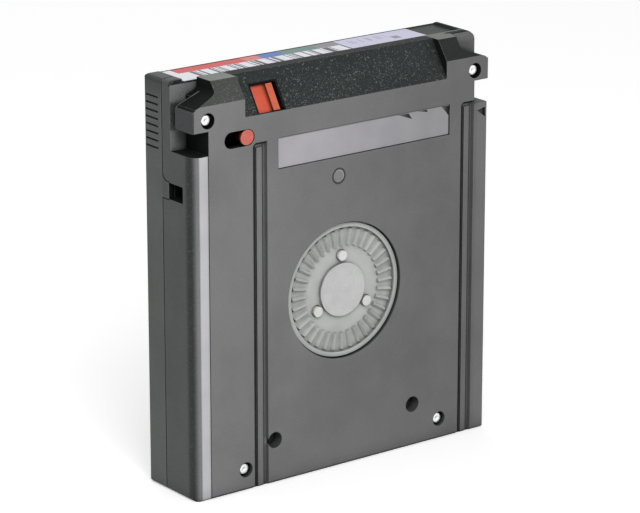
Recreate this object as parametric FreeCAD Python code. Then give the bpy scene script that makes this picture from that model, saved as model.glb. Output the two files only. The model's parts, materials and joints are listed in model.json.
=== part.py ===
import FreeCAD, Part
import math
import os

# Half-inch data tape cartridge, in millimetres, standing on its insertion end with its label end up.
# X is the case's width, Y its thickness (the hub side faces -Y) and Z its length. The origin is the
# middle of the insertion end.

V = FreeCAD.Vector

# Case
CASE_W = 109.0
CASE_T = 24.5
CASE_L = 125.0
WALL = 2.0
FIT = 0.05               # gap between faces that seat or slide on each other
PART_GROOVE = 0.35       # shadow groove along the parting line
EDGE_R = 1.2             # rounding of the case's long edges
TOP_R = 2.0              # rounding of the label end's outer edges
FOOT_CHAMFER = 0.8       # chamfer of the insertion end's edges
GRIP_EDGE_R = 4.0        # large rounding of the keyed long edge
HALF_W = CASE_W / 2
HALF_T = CASE_T / 2
INNER_X = HALF_W - WALL
INNER_Y = HALF_T - WALL
PART_Y = HALF_T - 9.05   # height of the parting plane between the two shells

# Label end
RIM = 0.8                # depth of the label pocket
INNER_TOP = CASE_L - RIM - WALL
POCKET_X0, POCKET_X1 = -HALF_W + 4.3, HALF_W - 2.2
POCKET_Y0, POCKET_Y1 = -HALF_T + 10.95, HALF_T - 0.65
LABEL_X0, LABEL_X1 = POCKET_X0 + 0.7, POCKET_X1 - 11.3
LABEL_GAP = 0.3
LABEL_T = 0.15
BEVEL_TOP_Y, BEVEL_LOW_Z = -HALF_T + 7.05, CASE_L - 11.2       # wide grip bevel
BEVEL_X0, BEVEL_X1 = -HALF_W + 18.4, HALF_W - 16.3
COLUMN_TOP_Y, COLUMN_LOW_Z = -HALF_T + 4.25, CASE_L - 5.9      # short bevel of the columns beside it
COLUMN_X = HALF_W - 9.3                                        # outer side of each column

# Corner lugs and gripper notches at the label end
LUG_LOW_Z, LUG_TOP_Z = CASE_L - 13.4, CASE_L - 6.8
LUG_R, LUG_EDGE_R = 1.0, 0.6
RAMP_RISE = 3.0          # the ramp over each lug, from the lug's top up to the column
RAMP_R, RAMP_TOP_R = 2.6, 1.2
NOTCH_Z = CASE_L - 20.7
NOTCH_X = HALF_W - 5.5
LEFT_WALL_Y, RIGHT_WALL_Y = -HALF_T + 11.15, -HALF_T + 6.85
LUG_BACK_Y = -HALF_T + 8.55
SHOULDER_X, RIGHT_WALL_R = COLUMN_X + 0.9, 2.8                 # round on top of the right shoulder wall
SHOULDER_GROOVE = 0.4    # width and depth of the groove along the top of the right shoulder's round

# Grip grooves
GRIP_COUNT = 8
GRIP_PITCH = 2.15
GRIP_TOP_Z = CASE_L - 6.0
GRIP_Y0 = PART_Y + 1.7
GRIP_DEPTH = 0.6
GRIP_W = 0.8

# Wide face of the hub side
STRIP_STEP = 0.3
GROOVE_W, GROOVE_DEPTH, GROOVE_TOP_Z = 5.1, 1.0, CASE_L - 19.4
GROOVE_END_R = 1.4
GROOVE_RIB_W, GROOVE_RIB_H, GROOVE_RIB_GAP = 1.9, 0.5, 1.6
GROOVE_XS = (-HALF_W + 23.55, HALF_W - 8.1)
PANEL_X0, PANEL_X1, PANEL_Z0, PANEL_Z1 = -HALF_W + 30.1, HALF_W - 15.0, CASE_L - 28.6, CASE_L - 19.2
PANEL_DEPTH = 0.5
KEY_X0, KEY_X1, KEY_Z = HALF_W - 4.0, HALF_W - 0.9, NOTCH_Z - 2.25
KEY_RISE, KEY_FALL, KEY_DEPTH = 0.75, 2.35, 1.4
POCKET_Z0, POCKET_Z1 = CASE_L - 35.1, CASE_L - 30.1            # pocket in the left side wall
SIDE_POCKET_W, SIDE_POCKET_DEPTH, SIDE_POCKET_WALL = 7.0, 4.6, 1.2
GAUGE_X, GAUGE_Z, GAUGE_R, GAUGE_DEPTH = 26.0, 13.5, 2.5, 3.9
GAUGE_WALL, GAUGE_FLOOR = 1.5, 0.35

# Write-protect slider
WP_TRAVEL = 5.2
SLOT_Z, SLOT_R = NOTCH_Z + 3.4, 2.45
SLOT_X1 = BEVEL_X0 + 3.2
SLOT_X0 = SLOT_X1 - 2 * SLOT_R - WP_TRAVEL - 0.5
WINDOW_X0, WINDOW_X1, WINDOW_S0, WINDOW_S1 = BEVEL_X0 + 5.1, BEVEL_X0 + 14.2, 0.3, 9.1
WINDOW_WALL = 1.2
WP_PIN_GAP = 0.15
WP_PIN_X = SLOT_X1 - SLOT_R
WP_X0, WP_X1 = WP_PIN_X - 1.0, WINDOW_X1 - 1.5
WP_FOOT_Z, WP_BASE_Z, WP_WEB_Z = SLOT_Z - 2.6, BEVEL_LOW_Z - 1.6, BEVEL_LOW_Z + 0.6
WP_T = 1.4
WP_LEVER_X0, WP_LEVER_S0, WP_LEVER_S1 = WINDOW_X0 - 1.8, WINDOW_S0 - 0.6, WINDOW_S1 + 0.7
WP_RIDGE_W = 2.2
WP_ROOM, WP_ROOM_DEPTH = 0.6, WINDOW_WALL + 2.8

# Case screws
SCREW_X, SCREW_LABEL_Z = HALF_W - 5.3, CASE_L - 10.3
SCREW_BASE_X, SCREW_BASE_Z = HALF_W - 17.9, 6.5
SCREW_HEAD_R, SCREW_HEAD_H, SCREW_R = 1.65, 1.6, 1.25
SCREW_WELL_R = 2.35
SCREW_SINK = 1.05
SCREW_TIP_Y = HALF_T - 3.65
BOSS_W = 6.2             # square bosses round the screws

# Reel
REEL_CLEAR = 4.0         # between the flanges' rims and the side walls
FLANGE_R, FLANGE_T = INNER_X - REEL_CLEAR, 1.4
REEL_Z = WALL + REEL_CLEAR + 0.5 + FLANGE_R
PACK_R = FLANGE_R - 4.5
TAPE_W = 12.65
FLANGE_Y = TAPE_W / 2 + FIT / 2
HUB_R, HUB_INNER_R = 22.0, 19.5
HUB_OPENING_R = 21.0
SKIRT_R, SKIRT_T, SKIRT_Y = HUB_OPENING_R - 0.4, 1.3, -HALF_T + 0.95
SHOULDER_R = HUB_OPENING_R + 3.0
WEB_Y0, WEB_Y1 = -HALF_T + 2.05, -HALF_T + 4.35
DRIVE_R0, DRIVE_R1, DRIVE_TEETH, DRIVE_TOOTH_W, DRIVE_TOOTH_H = 13.6, 18.6, 36, 1.6, 1.2
LOCK_R0, LOCK_R1, LOCK_TEETH, LOCK_TOOTH_W, LOCK_TOOTH_H = 13.4, 16.8, 24, 2.6, 0.9
PLATE_R, PLATE_T = 8.2, 1.0
LEG_R, LEG_AT, LEG_GAP = 1.6, 10.5, 0.2

# Brake
BRAKE_R, BRAKE_T = 17.4, 1.7
BRAKE_Y = WEB_Y1 + LOCK_TOOTH_H + 0.1           # underside of the brake's disc
LIFT = 2.0
POST = 8.0
POST_END_Y = BRAKE_Y + 5.7
SLEEVE_WALL, SLEEVE_L = 1.3, 8.2
BRAKE_SPRING_R, BRAKE_WIRE_R, BRAKE_TURNS = 10.5, 0.6, 3.5
COIL_STEPS = 8           # straight runs in one turn of a coil spring

# Sliding door and leader pin
DOOR_Z0, DOOR_Z1, DOOR_HALF_Y = 4.0, 20.0, 7.5
DOOR_T, DOOR_LAP = 1.2, 1.2
DOOR_TRAVEL = 16.5
DOOR_TAB_W, DOOR_TAB_X = 3.2, 1.6
DOOR_GRIP_H, DOOR_GRIP_DEPTH = 1.2, 0.5
DOOR_SPRING_R, DOOR_WIRE_R, DOOR_TURNS = 1.05, 0.25, 5
DOOR_STOP_Z, DOOR_STOP_T, DOOR_STOP_REACH = 46.0, 1.5, DOOR_T + 1.7
RAIL_W = 1.0
PIN_X, PIN_Z, PIN_R, PIN_END_R = INNER_X - 5.7, 12.0, 1.25, 2.4
PIN_HALF, PIN_FLANGE_T = 7.8, 1.2
SEAT_H, SEAT_BACK, SEAT_FRONT = 8.0, 4.0, 2.5
SEAT_Y = PIN_HALF - 0.9
LEAF_T, LEAF_LAP, LEAF_FOOT_W = 0.4, 0.2, 1.0
CLIP_W, CLIP_HALF, CLIP_SLOT = 4.2, 6.0, 0.8
LEADER_T = 0.2

# Memory
BOARD_X, BOARD_Z, BOARD_L, BOARD_H, BOARD_T = -HALF_W + 8.7, 8.4, 15.0, 12.0, 0.8
BOARD_POST_W, BOARD_POST_LAP, BOARD_POST_Y1 = 3.0, 1.5, -2.0
CHIP_L, CHIP_W, CHIP_T, CHIP_Y0 = 5.0, 4.0, 0.7, -INNER_Y + 6.25


def box(x0, x1, y0, y1, z0, z1):
    return Part.makeBox(x1 - x0, y1 - y0, z1 - z0, V(x0, y0, z0))


def rod_y(x, z, r, y0, y1):
    return Part.makeCylinder(r, y1 - y0, V(x, y0, z), V(0, 1, 0))


def ring_y(x, z, r0, r1, y0, y1):
    return rod_y(x, z, r1, y0, y1).cut(rod_y(x, z, r0, y0 - 1, y1 + 1))


def corner(before, at, after, r):
    """Start, middle and end of the arc that rounds the corner at `at`, in the outline's own plane."""
    a = (before - at).normalize()
    b = (after - at).normalize()
    half = math.acos(max(-1.0, min(1.0, a.dot(b)))) / 2
    reach = r / math.tan(half)
    middle = (a + b).normalize() * (r / math.sin(half) - r)
    return at + a * reach, at + middle, at + b * reach


def face(points, radii, place):
    """A flat face with its corners rounded; `place` sets each (u, v) point in space."""
    flat = [V(u, v, 0) for u, v in points]
    turns = []
    for i, at in enumerate(flat):
        if radii[i] > 0:
            turns.append(corner(flat[i - 1], at, flat[(i + 1) % len(flat)], radii[i]))
        else:
            turns.append((at, None, at))
    edges = []
    for i, (start, middle, end) in enumerate(turns):
        if middle is not None:
            arc = Part.Arc(place(start.x, start.y), place(middle.x, middle.y), place(end.x, end.y))
            edges.append(arc.toShape())
        after = turns[(i + 1) % len(turns)][0]
        if (after - end).Length > 1e-6:
            edges.append(Part.LineSegment(place(end.x, end.y), place(after.x, after.y)).toShape())
    return Part.Face(Part.Wire(edges))


def prism_x(points, x0, x1, radii=None):
    """Outline of (y, z) points, extruded along X."""
    shape = face(points, radii or [0] * len(points), lambda u, v: V(x0, u, v))
    return shape.extrude(V(x1 - x0, 0, 0))


def prism_y(points, y0, y1, radii=None):
    """Outline of (x, z) points, extruded along Y."""
    shape = face(points, radii or [0] * len(points), lambda u, v: V(u, y0, v))
    return shape.extrude(V(0, y1 - y0, 0))


def prism_z(points, z0, z1, radii=None):
    """Outline of (x, y) points, extruded along Z."""
    shape = face(points, radii or [0] * len(points), lambda u, v: V(u, v, z0))
    return shape.extrude(V(0, 0, z1 - z0))


def rect(u0, u1, v0, v1):
    return [(u0, v0), (u1, v0), (u1, v1), (u0, v1)]


def joined(shapes):
    return shapes[0].multiFuse(shapes[1:]).removeSplitter()


def mirrored(shape):
    """The shape mirrored to the other side of the case's middle plane, left to right."""
    return shape.mirror(V(0, 0, 0), V(1, 0, 0))


def bevel_point(s, d):
    """Point s up the wide bevel from its lower edge and d under its surface, as (y, z)."""
    run = BEVEL_TOP_Y + HALF_T
    rise = CASE_L - BEVEL_LOW_Z
    length = math.hypot(run, rise)
    uy, uz = run / length, rise / length
    return -HALF_T + s * uy + d * uz, BEVEL_LOW_Z + s * uz - d * uy


def bevel_prism(s0, s1, d0, d1, x0, x1):
    corners = [bevel_point(s, d) for s, d in ((s0, d0), (s1, d0), (s1, d1), (s0, d1))]
    return prism_x(corners, x0, x1)


# ---------------------------------------------------------------- case envelope

def over_lug(wall_y):
    """Space over the left lug: a ramp that rises to the column and rounds up into its side."""
    ramp_x = -COLUMN_X - RAMP_R / 2
    ramp_z = LUG_TOP_Z + RAMP_RISE
    outline = [(-HALF_W - 1, LUG_TOP_Z - 0.4), (ramp_x, ramp_z), (-COLUMN_X, ramp_z + 0.8),
               (-COLUMN_X, CASE_L + 1), (-HALF_W - 1, CASE_L + 1)]
    return prism_y(outline, -HALF_T - 1, wall_y, [0, RAMP_R, RAMP_TOP_R, 0, 0])


def lug_corner(back_y):
    """Waste outside the round on the left lug's outer top corner."""
    x, z = -HALF_W + LUG_R, LUG_TOP_Z - LUG_R
    block = box(-HALF_W - 1, x, -HALF_T - 1, back_y, z, LUG_TOP_Z + 1)
    return block.cut(rod_y(x, z, LUG_R, -HALF_T - 2, 0))


def notch(wall_y):
    """Gripper notch under the left lug."""
    return box(-HALF_W - 1, -NOTCH_X, -HALF_T - 1, wall_y, NOTCH_Z, LUG_LOW_Z)


def round_over(radius, reach, start):
    """Waste outside a convex round that joins the label end's top to the right shoulder wall."""
    block = box(start, HALF_W + 1, reach - 1, reach + radius, CASE_L - radius, CASE_L + 1)
    corner_at = V(start - 1, reach + radius, CASE_L - radius)
    bar = Part.makeCylinder(radius, HALF_W + 3 - start, corner_at, V(1, 0, 0))
    return block.cut(bar)


def shoulder_groove():
    """Narrow groove where the right shoulder's round meets the label end's top."""
    y = RIGHT_WALL_Y + RIGHT_WALL_R
    return box(SHOULDER_X, HALF_W - TOP_R, y - SHOULDER_GROOVE / 2, y + SHOULDER_GROOVE / 2,
               CASE_L - SHOULDER_GROOVE, CASE_L + 1)


def footed(half):
    """Outline of the case from one side, chamfered where it stands; half is half its width there."""
    foot = half - FOOT_CHAMFER
    return [(-foot, 0), (foot, 0), (half, FOOT_CHAMFER), (half, CASE_L),
            (-half, CASE_L), (-half, FOOT_CHAMFER)]


def envelope():
    """The closed case as one outer form, with no inside."""
    plan = [(-HALF_W, -HALF_T), (HALF_W, -HALF_T), (HALF_W, HALF_T), (-HALF_W, HALF_T)]
    low = prism_z(plan, 0, NOTCH_Z + 0.5, [GRIP_EDGE_R, EDGE_R, EDGE_R, EDGE_R])
    high = prism_z(plan, NOTCH_Z, CASE_L, [LUG_EDGE_R, LUG_EDGE_R, EDGE_R, EDGE_R])
    case = low.fuse(high).removeSplitter()
    front = prism_y(footed(HALF_W), -HALF_T, HALF_T, [0, 0, 0, TOP_R, TOP_R, 0])
    side = prism_x(footed(HALF_T), -HALF_W, HALF_W, [0, 0, 0, TOP_R, 0, 0])
    case = case.common(front).common(side)
    wide = [(BEVEL_TOP_Y, CASE_L), (-HALF_T, BEVEL_LOW_Z), (-HALF_T - 5, BEVEL_LOW_Z),
            (-HALF_T - 5, CASE_L + 5), (BEVEL_TOP_Y, CASE_L + 5)]
    short = [(COLUMN_TOP_Y, CASE_L), (-HALF_T, COLUMN_LOW_Z), (-HALF_T - 5, COLUMN_LOW_Z),
             (-HALF_T - 5, CASE_L + 5), (COLUMN_TOP_Y, CASE_L + 5)]
    waste = [prism_x(wide, BEVEL_X0, BEVEL_X1),
             prism_x(short, -HALF_W - 1, BEVEL_X0),
             prism_x(short, BEVEL_X1, HALF_W + 1),
             over_lug(LEFT_WALL_Y),
             mirrored(over_lug(RIGHT_WALL_Y)),
             notch(LEFT_WALL_Y),
             mirrored(notch(RIGHT_WALL_Y)),
             box(-HALF_W - 1, -NOTCH_X, LUG_BACK_Y, LEFT_WALL_Y, LUG_LOW_Z - 1, CASE_L),
             round_over(RIGHT_WALL_R, RIGHT_WALL_Y, SHOULDER_X),
             shoulder_groove(),
             box(POCKET_X0, POCKET_X1, POCKET_Y0, POCKET_Y1, CASE_L - RIM, CASE_L + 1),
             lug_corner(LUG_BACK_Y),
             mirrored(lug_corner(RIGHT_WALL_Y)),
             box(-HALF_W - 1, -NOTCH_X, -HALF_T - 1, -HALF_T + STRIP_STEP, -1, NOTCH_Z),
             box(NOTCH_X + 0.7, HALF_W + 1, -HALF_T - 1, -HALF_T + STRIP_STEP, -1, NOTCH_Z)]
    return case.cut(waste[0].multiFuse(waste[1:]))


def cavity():
    """The inside that both shells share."""
    sy0, sz0 = bevel_point(0, WALL)
    sy1, sz1 = bevel_point(10, WALL)
    slope = (sz1 - sz0) / (sy1 - sy0)
    shelf_z = NOTCH_Z - WALL
    column_x = COLUMN_X - WALL
    middle = [(-INNER_Y, shelf_z - 1), (INNER_Y, shelf_z - 1), (INNER_Y, INNER_TOP),
              (sy0 + (INNER_TOP - sz0) / slope, INNER_TOP), (-INNER_Y, sz0 + (-INNER_Y - sy0) * slope)]
    rooms = [box(-INNER_X, INNER_X, -INNER_Y, INNER_Y, WALL, shelf_z),
             prism_x(middle, -column_x, column_x),
             box(-INNER_X, -column_x + 1, LEFT_WALL_Y + WALL, INNER_Y, shelf_z - 1, INNER_TOP),
             box(column_x - 1, INNER_X, RIGHT_WALL_Y + WALL, INNER_Y, shelf_z - 1, INNER_TOP)]
    return joined(rooms)


def tongue(grow):
    """The upper shell's tongue, which reaches down to the pocket in the left side wall."""
    outline = [(-grow, POCKET_Z0 - grow), (PART_Y + 2, POCKET_Z0 - grow),
               (PART_Y + 2, POCKET_Z1 + 5), (PART_Y - grow, POCKET_Z1 + 5),
               (PART_Y - grow, POCKET_Z1 + grow), (-grow, POCKET_Z1 + grow)]
    return prism_x(outline, -HALF_W - 1, -INNER_X, [0, 0, 0, 0, 2.2, 0])


def grip_grooves(side):
    """V-shaped finger grooves in one side wall; side is -1 for left and 1 for right."""
    cuts = []
    for i in range(GRIP_COUNT):
        z = GRIP_TOP_Z - i * GRIP_PITCH
        wedge = [(side * (HALF_W + 0.1), z - GRIP_W / 2), (side * (HALF_W + 0.1), z + GRIP_W / 2),
                 (side * (HALF_W - GRIP_DEPTH), z - GRIP_W / 4)]
        cuts.append(prism_y(wedge, GRIP_Y0, HALF_T - EDGE_R))
    return cuts


# ---------------------------------------------------------------- shells

def guide_groove(x):
    """Straight guide groove with a low rib along its middle, from the insertion end upwards."""
    outline = rect(x - GROOVE_W / 2, x + GROOVE_W / 2, -1, GROOVE_TOP_Z)
    trough = prism_y(outline, -HALF_T - 1, -HALF_T + GROOVE_DEPTH, [0, 0, 0, GROOVE_END_R])
    rib_y = -HALF_T + GROOVE_DEPTH - GROOVE_RIB_H
    rib = rect(x - GROOVE_RIB_W / 2, x + GROOVE_RIB_W / 2, -2, GROOVE_TOP_Z - GROOVE_RIB_GAP)
    return trough.cut(prism_y(rib, rib_y, -HALF_T + GROOVE_DEPTH + 1))


def key_notch():
    """Three-cornered notch at the top of the wide face's right edge."""
    outline = [(KEY_X0, KEY_Z), (KEY_X1, KEY_Z - KEY_FALL), (KEY_X1, KEY_Z + KEY_RISE)]
    return prism_y(outline, -HALF_T - 1, -HALF_T + KEY_DEPTH)


def slot_y(x0, x1, z, r, y0, y1):
    """Round-ended slot along X, cut through in Y."""
    return prism_y(rect(x0, x1, z - r, z + r), y0, y1, [r - 0.001] * 4)


def screw_posts(y0, y1, label_y):
    """Square posts round the four case screws; the label-end pair start at label_y."""
    posts = []
    for x, z in screw_places():
        start = label_y if z == SCREW_LABEL_Z else y0
        posts.append(box(x - BOSS_W / 2, x + BOSS_W / 2, start, y1, z - BOSS_W / 2, z + BOSS_W / 2))
    return posts


def screw_places():
    return [(-SCREW_X, SCREW_LABEL_Z), (SCREW_X, SCREW_LABEL_Z),
            (-SCREW_BASE_X, SCREW_BASE_Z), (SCREW_BASE_X, SCREW_BASE_Z)]


def door_rails(y0, y1):
    """Rails that keep the door's edge against the side wall, on one shell."""
    front = INNER_X - DOOR_T - 2 * FIT
    return box(front - RAIL_W, front, y0, y1, WALL - 0.5, DOOR_Z1 + DOOR_LAP + DOOR_TRAVEL + 1.0)


def pin_seat(y0, y1, floor_y, open_y):
    """Block with a U-shaped seat for one end of the leader pin; its mouth faces the door."""
    block = box(PIN_X - SEAT_BACK, PIN_X + SEAT_FRONT, y0, y1, PIN_Z - SEAT_H / 2, PIN_Z + SEAT_H / 2)
    seat_r = PIN_END_R + FIT
    low, high = min(floor_y, open_y), max(floor_y, open_y)
    mouth = rod_y(PIN_X, PIN_Z, seat_r, low, high)
    return block.cut(mouth.fuse(box(PIN_X, PIN_X + 6, low, high, PIN_Z - seat_r, PIN_Z + seat_r)))


def board_frame(length, thick, y0, y1):
    """A slab on the memory board's 45-degree plane, centred on the board."""
    slab = Part.makeBox(length, y1 - y0, thick, V(-length / 2, y0, -thick / 2))
    slab.rotate(V(0, 0, 0), V(0, 1, 0), 45)
    slab.translate(V(BOARD_X, 0, BOARD_Z))
    return slab


def board_posts():
    """Two grooved posts that hold the ends of the memory board."""
    ends = board_frame(BOARD_L + 2.0, BOARD_POST_W, -INNER_Y - 0.5, BOARD_POST_Y1)
    ends = ends.cut(board_frame(BOARD_L - 2 * BOARD_POST_LAP, BOARD_POST_W + 1, -INNER_Y, 0))
    ends = ends.cut(board_frame(BOARD_L + 2 * FIT, BOARD_T + 2 * FIT, -INNER_Y + FIT, 0))
    return ends


def lower_region():
    """Everything on the hub side of the parting surface."""
    half = box(-HALF_W - 1, HALF_W + 1, -HALF_T - 1, PART_Y, -1, CASE_L + 1)
    return half.cut(tongue(0))


def parting_groove():
    """Shallow groove round the outside of the lower shell's rim and round the tongue."""
    band = box(-HALF_W - 1, HALF_W + 1, PART_Y - PART_GROOVE, PART_Y + 1, -1, CASE_L + 1)
    core_x = HALF_W - PART_GROOVE
    core = box(-core_x, core_x, -HALF_T, HALF_T, PART_GROOVE, CASE_L - PART_GROOVE)
    ring = tongue(PART_GROOVE).cut(box(-core_x, 0, -HALF_T, HALF_T, 0, CASE_L))
    return band.cut(core).fuse(ring)


def side_pocket_walls():
    """Walls on the inside round the pocket in the left side wall."""
    back_x = -HALF_W + SIDE_POCKET_DEPTH + SIDE_POCKET_WALL
    walls = box(-INNER_X - 0.5, back_x, -SIDE_POCKET_W - SIDE_POCKET_WALL, SIDE_POCKET_WALL,
                POCKET_Z0 - SIDE_POCKET_WALL, POCKET_Z1 + SIDE_POCKET_WALL)
    return walls.cut(box(-HALF_W, -INNER_X + 0.1, -0.001, 3, POCKET_Z0 - 2, POCKET_Z1 + 2))


def gauge_boss(side):
    """Square boss on the inside round one gauge hole; side is -1 for left and 1 for right."""
    half = GAUGE_R + GAUGE_WALL
    x = side * GAUGE_X
    return box(x - half, x + half, -INNER_Y - 0.5, -HALF_T + GAUGE_DEPTH + GAUGE_FLOOR,
               GAUGE_Z - half, GAUGE_Z + half)


def slider_room():
    """Space inside the shell for the write-protect slider's travel."""
    beside = box(SLOT_X0 - WP_ROOM, SLOT_X0 + WP_TRAVEL, -INNER_Y, -INNER_Y + WP_T + WP_ROOM,
                 WP_FOOT_Z - 0.2, WP_BASE_Z + 0.4)
    under = bevel_prism(WP_LEVER_S0 - 0.2, WP_LEVER_S1 + WP_ROOM, WINDOW_WALL, WP_ROOM_DEPTH,
                        WP_LEVER_X0 - WP_TRAVEL - WP_ROOM, WINDOW_X1 + WP_ROOM)
    return beside.fuse(under)


def lower_shell(case, inside):
    shell = case.common(lower_region()).cut(inside)
    stop = box(INNER_X - DOOR_STOP_REACH, INNER_X + 0.5, -DOOR_TAB_W / 2, DOOR_TAB_W / 2,
               DOOR_STOP_Z, DOOR_STOP_Z + DOOR_STOP_T)
    added = screw_posts(-INNER_Y - 0.5, PART_Y, -INNER_Y - 0.5)
    added = [post.cut(notch(LEFT_WALL_Y)).cut(over_lug(LEFT_WALL_Y)) for post in added]
    behind_lug = box(-HALF_W - 1, -NOTCH_X, LUG_BACK_Y, LEFT_WALL_Y, LUG_LOW_Z - 1, CASE_L)
    added = [post.cut(behind_lug).cut(mirrored(notch(RIGHT_WALL_Y))) for post in added]
    added += [gauge_boss(-1), gauge_boss(1), side_pocket_walls(), stop, board_posts(),
              door_rails(-INNER_Y - 0.5, -DOOR_HALF_Y),
              pin_seat(-INNER_Y - 0.5, -SEAT_Y, -PIN_HALF - FIT, 0)]
    shell = joined([shell] + added)
    cuts = [guide_groove(x) for x in GROOVE_XS]
    cuts.append(rod_y(0, REEL_Z, HUB_OPENING_R, -HALF_T - 1, -INNER_Y + 1))
    cuts.append(box(PANEL_X0, PANEL_X1, -HALF_T - 1, -HALF_T + PANEL_DEPTH, PANEL_Z0, PANEL_Z1))
    cuts.append(key_notch())
    cuts.append(box(-HALF_W - 1, -HALF_W + SIDE_POCKET_DEPTH, -SIDE_POCKET_W, 0, POCKET_Z0, POCKET_Z1))
    cuts.append(box(INNER_X - 0.5, HALF_W + 1, -DOOR_HALF_Y, DOOR_HALF_Y, DOOR_Z0, DOOR_Z1))
    cuts.append(slot_y(SLOT_X0, SLOT_X1, SLOT_Z, SLOT_R, -HALF_T - 1, -INNER_Y + 1))
    cuts.append(bevel_prism(WINDOW_S0, WINDOW_S1, -1, WINDOW_WALL + 1, WINDOW_X0, WINDOW_X1))
    cuts.append(slider_room())
    for x in (-GAUGE_X, GAUGE_X):
        cuts.append(rod_y(x, GAUGE_Z, GAUGE_R, -HALF_T - 1, -HALF_T + GAUGE_DEPTH))
    for x, z in screw_places():
        cuts.append(rod_y(x, z, SCREW_WELL_R, -HALF_T - 1, -HALF_T + SCREW_SINK + SCREW_HEAD_H))
        cuts.append(rod_y(x, z, SCREW_R + FIT, -HALF_T, PART_Y + 1))
    shell = shell.cut(cuts[0].multiFuse(cuts[1:]))
    return shell.cut(parting_groove())


def upper_shell(case, inside):
    shell = case.cut(lower_region()).cut(inside)
    half_post = POST / 2
    post = box(-half_post, half_post, POST_END_Y, INNER_Y + 0.5, REEL_Z - half_post, REEL_Z + half_post)
    added = screw_posts(PART_Y, INNER_Y + 0.5, PART_Y)
    added += [post, door_rails(DOOR_HALF_Y, INNER_Y + 0.5),
              pin_seat(SEAT_Y, INNER_Y + 0.5, PIN_HALF + FIT, 0)]
    shell = joined([shell] + added)
    cuts = grip_grooves(-1) + grip_grooves(1)
    cuts.append(box(INNER_X - 0.5, HALF_W + 1, -DOOR_HALF_Y, DOOR_HALF_Y, DOOR_Z0, DOOR_Z1))
    for x, z in screw_places():
        cuts.append(rod_y(x, z, SCREW_R + FIT / 2, PART_Y - 1, SCREW_TIP_Y + 0.2))
    return shell.cut(cuts[0].multiFuse(cuts[1:]))


# ---------------------------------------------------------------- reel and brake

def tooth_ring(count, r0, r1, y_base, y_tip, wide, turn):
    """V-shaped face teeth, radial about the reel's axis; turn shifts them by a part of the pitch."""
    root = y_base - math.copysign(0.2, y_tip - y_base)
    wide_root = wide * (y_tip - root) / (y_tip - y_base)
    section = [(-wide_root / 2, root), (wide_root / 2, root), (0, y_tip)]
    tooth = face(section, [0] * 3, lambda u, v: V(r0, v, u)).extrude(V(r1 - r0, 0, 0))
    teeth = []
    for i in range(count):
        one = tooth.copy()
        one.rotate(V(0, 0, 0), V(0, 1, 0), 360.0 * (i + turn) / count)
        one.translate(V(0, 0, REEL_Z))
        teeth.append(one)
    return teeth


def turned(profile):
    """Solid of revolution about the reel's axis from (r, y) points."""
    shape = face(profile, [0] * len(profile), lambda u, v: V(u, v, REEL_Z))
    return shape.revolve(V(0, 0, REEL_Z), V(0, 1, 0), 360)


def leg_places():
    for i in range(3):
        angle = math.radians(90 + 120 * i)
        yield LEG_AT * math.cos(angle), REEL_Z + LEG_AT * math.sin(angle)


def reel_hub():
    shoulder_y = -INNER_Y + FIT
    skirt_inner = SKIRT_R - SKIRT_T
    flange_y = -FLANGE_Y - FLANGE_T
    profile = [(0, WEB_Y0), (skirt_inner, WEB_Y0), (skirt_inner, SKIRT_Y), (SKIRT_R, SKIRT_Y),
               (SKIRT_R, shoulder_y), (SHOULDER_R, shoulder_y), (SHOULDER_R, flange_y),
               (FLANGE_R, flange_y), (FLANGE_R, -FLANGE_Y), (HUB_R, -FLANGE_Y), (HUB_R, FLANGE_Y),
               (HUB_INNER_R, FLANGE_Y), (HUB_INNER_R, WEB_Y1), (0, WEB_Y1)]
    drive = tooth_ring(DRIVE_TEETH, DRIVE_R0, DRIVE_R1, WEB_Y0, WEB_Y0 - DRIVE_TOOTH_H, DRIVE_TOOTH_W, 0)
    lock = tooth_ring(LOCK_TEETH, LOCK_R0, LOCK_R1, WEB_Y1, WEB_Y1 + LOCK_TOOTH_H, LOCK_TOOTH_W, 0)
    hub = joined([turned(profile)] + drive + lock)
    holes = [rod_y(x, z, LEG_R + LEG_GAP, WEB_Y0 - 1, WEB_Y1 + 1) for x, z in leg_places()]
    return hub.cut(holes[0].multiFuse(holes[1:]))


def upper_flange():
    return ring_y(0, REEL_Z, HUB_INNER_R, FLANGE_R, FLANGE_Y, FLANGE_Y + FLANGE_T)


def tape_pack():
    return ring_y(0, REEL_Z, HUB_R + FIT, PACK_R, -TAPE_W / 2, TAPE_W / 2)


def drive_plate():
    return rod_y(0, REEL_Z, PLATE_R, WEB_Y0 - PLATE_T, WEB_Y0)


def release_pad():
    """Three-cornered pad under the brake, with a foot at each corner that reaches through the hub."""
    reach = LEG_AT + 2 * LEG_R
    outline = [(x * reach / LEG_AT, REEL_Z + (z - REEL_Z) * reach / LEG_AT) for x, z in leg_places()]
    pad = prism_y(outline, WEB_Y1 + FIT, BRAKE_Y - FIT, [LEG_R] * 3)
    legs = [rod_y(x, z, LEG_R, WEB_Y0 - PLATE_T, WEB_Y1 + 0.3) for x, z in leg_places()]
    return joined([pad] + legs)


def brake():
    """Toothed disc with a square sleeve that slides on the upper shell's post."""
    disc = rod_y(0, REEL_Z, BRAKE_R, BRAKE_Y, BRAKE_Y + BRAKE_T)
    inside = POST / 2 + FIT
    outside = inside + SLEEVE_WALL
    top = BRAKE_Y + BRAKE_T + SLEEVE_L
    sleeve = box(-outside, outside, BRAKE_Y + 0.2, top, REEL_Z - outside, REEL_Z + outside)
    socket = box(-inside, inside, POST_END_Y - LIFT - 0.8, top + 1, REEL_Z - inside, REEL_Z + inside)
    tip_y = WEB_Y1 + FIT
    teeth = tooth_ring(LOCK_TEETH, LOCK_R0, LOCK_R1, BRAKE_Y, tip_y, LOCK_TOOTH_W, 0.5)
    return joined([disc, sleeve] + teeth).cut(socket)


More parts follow.
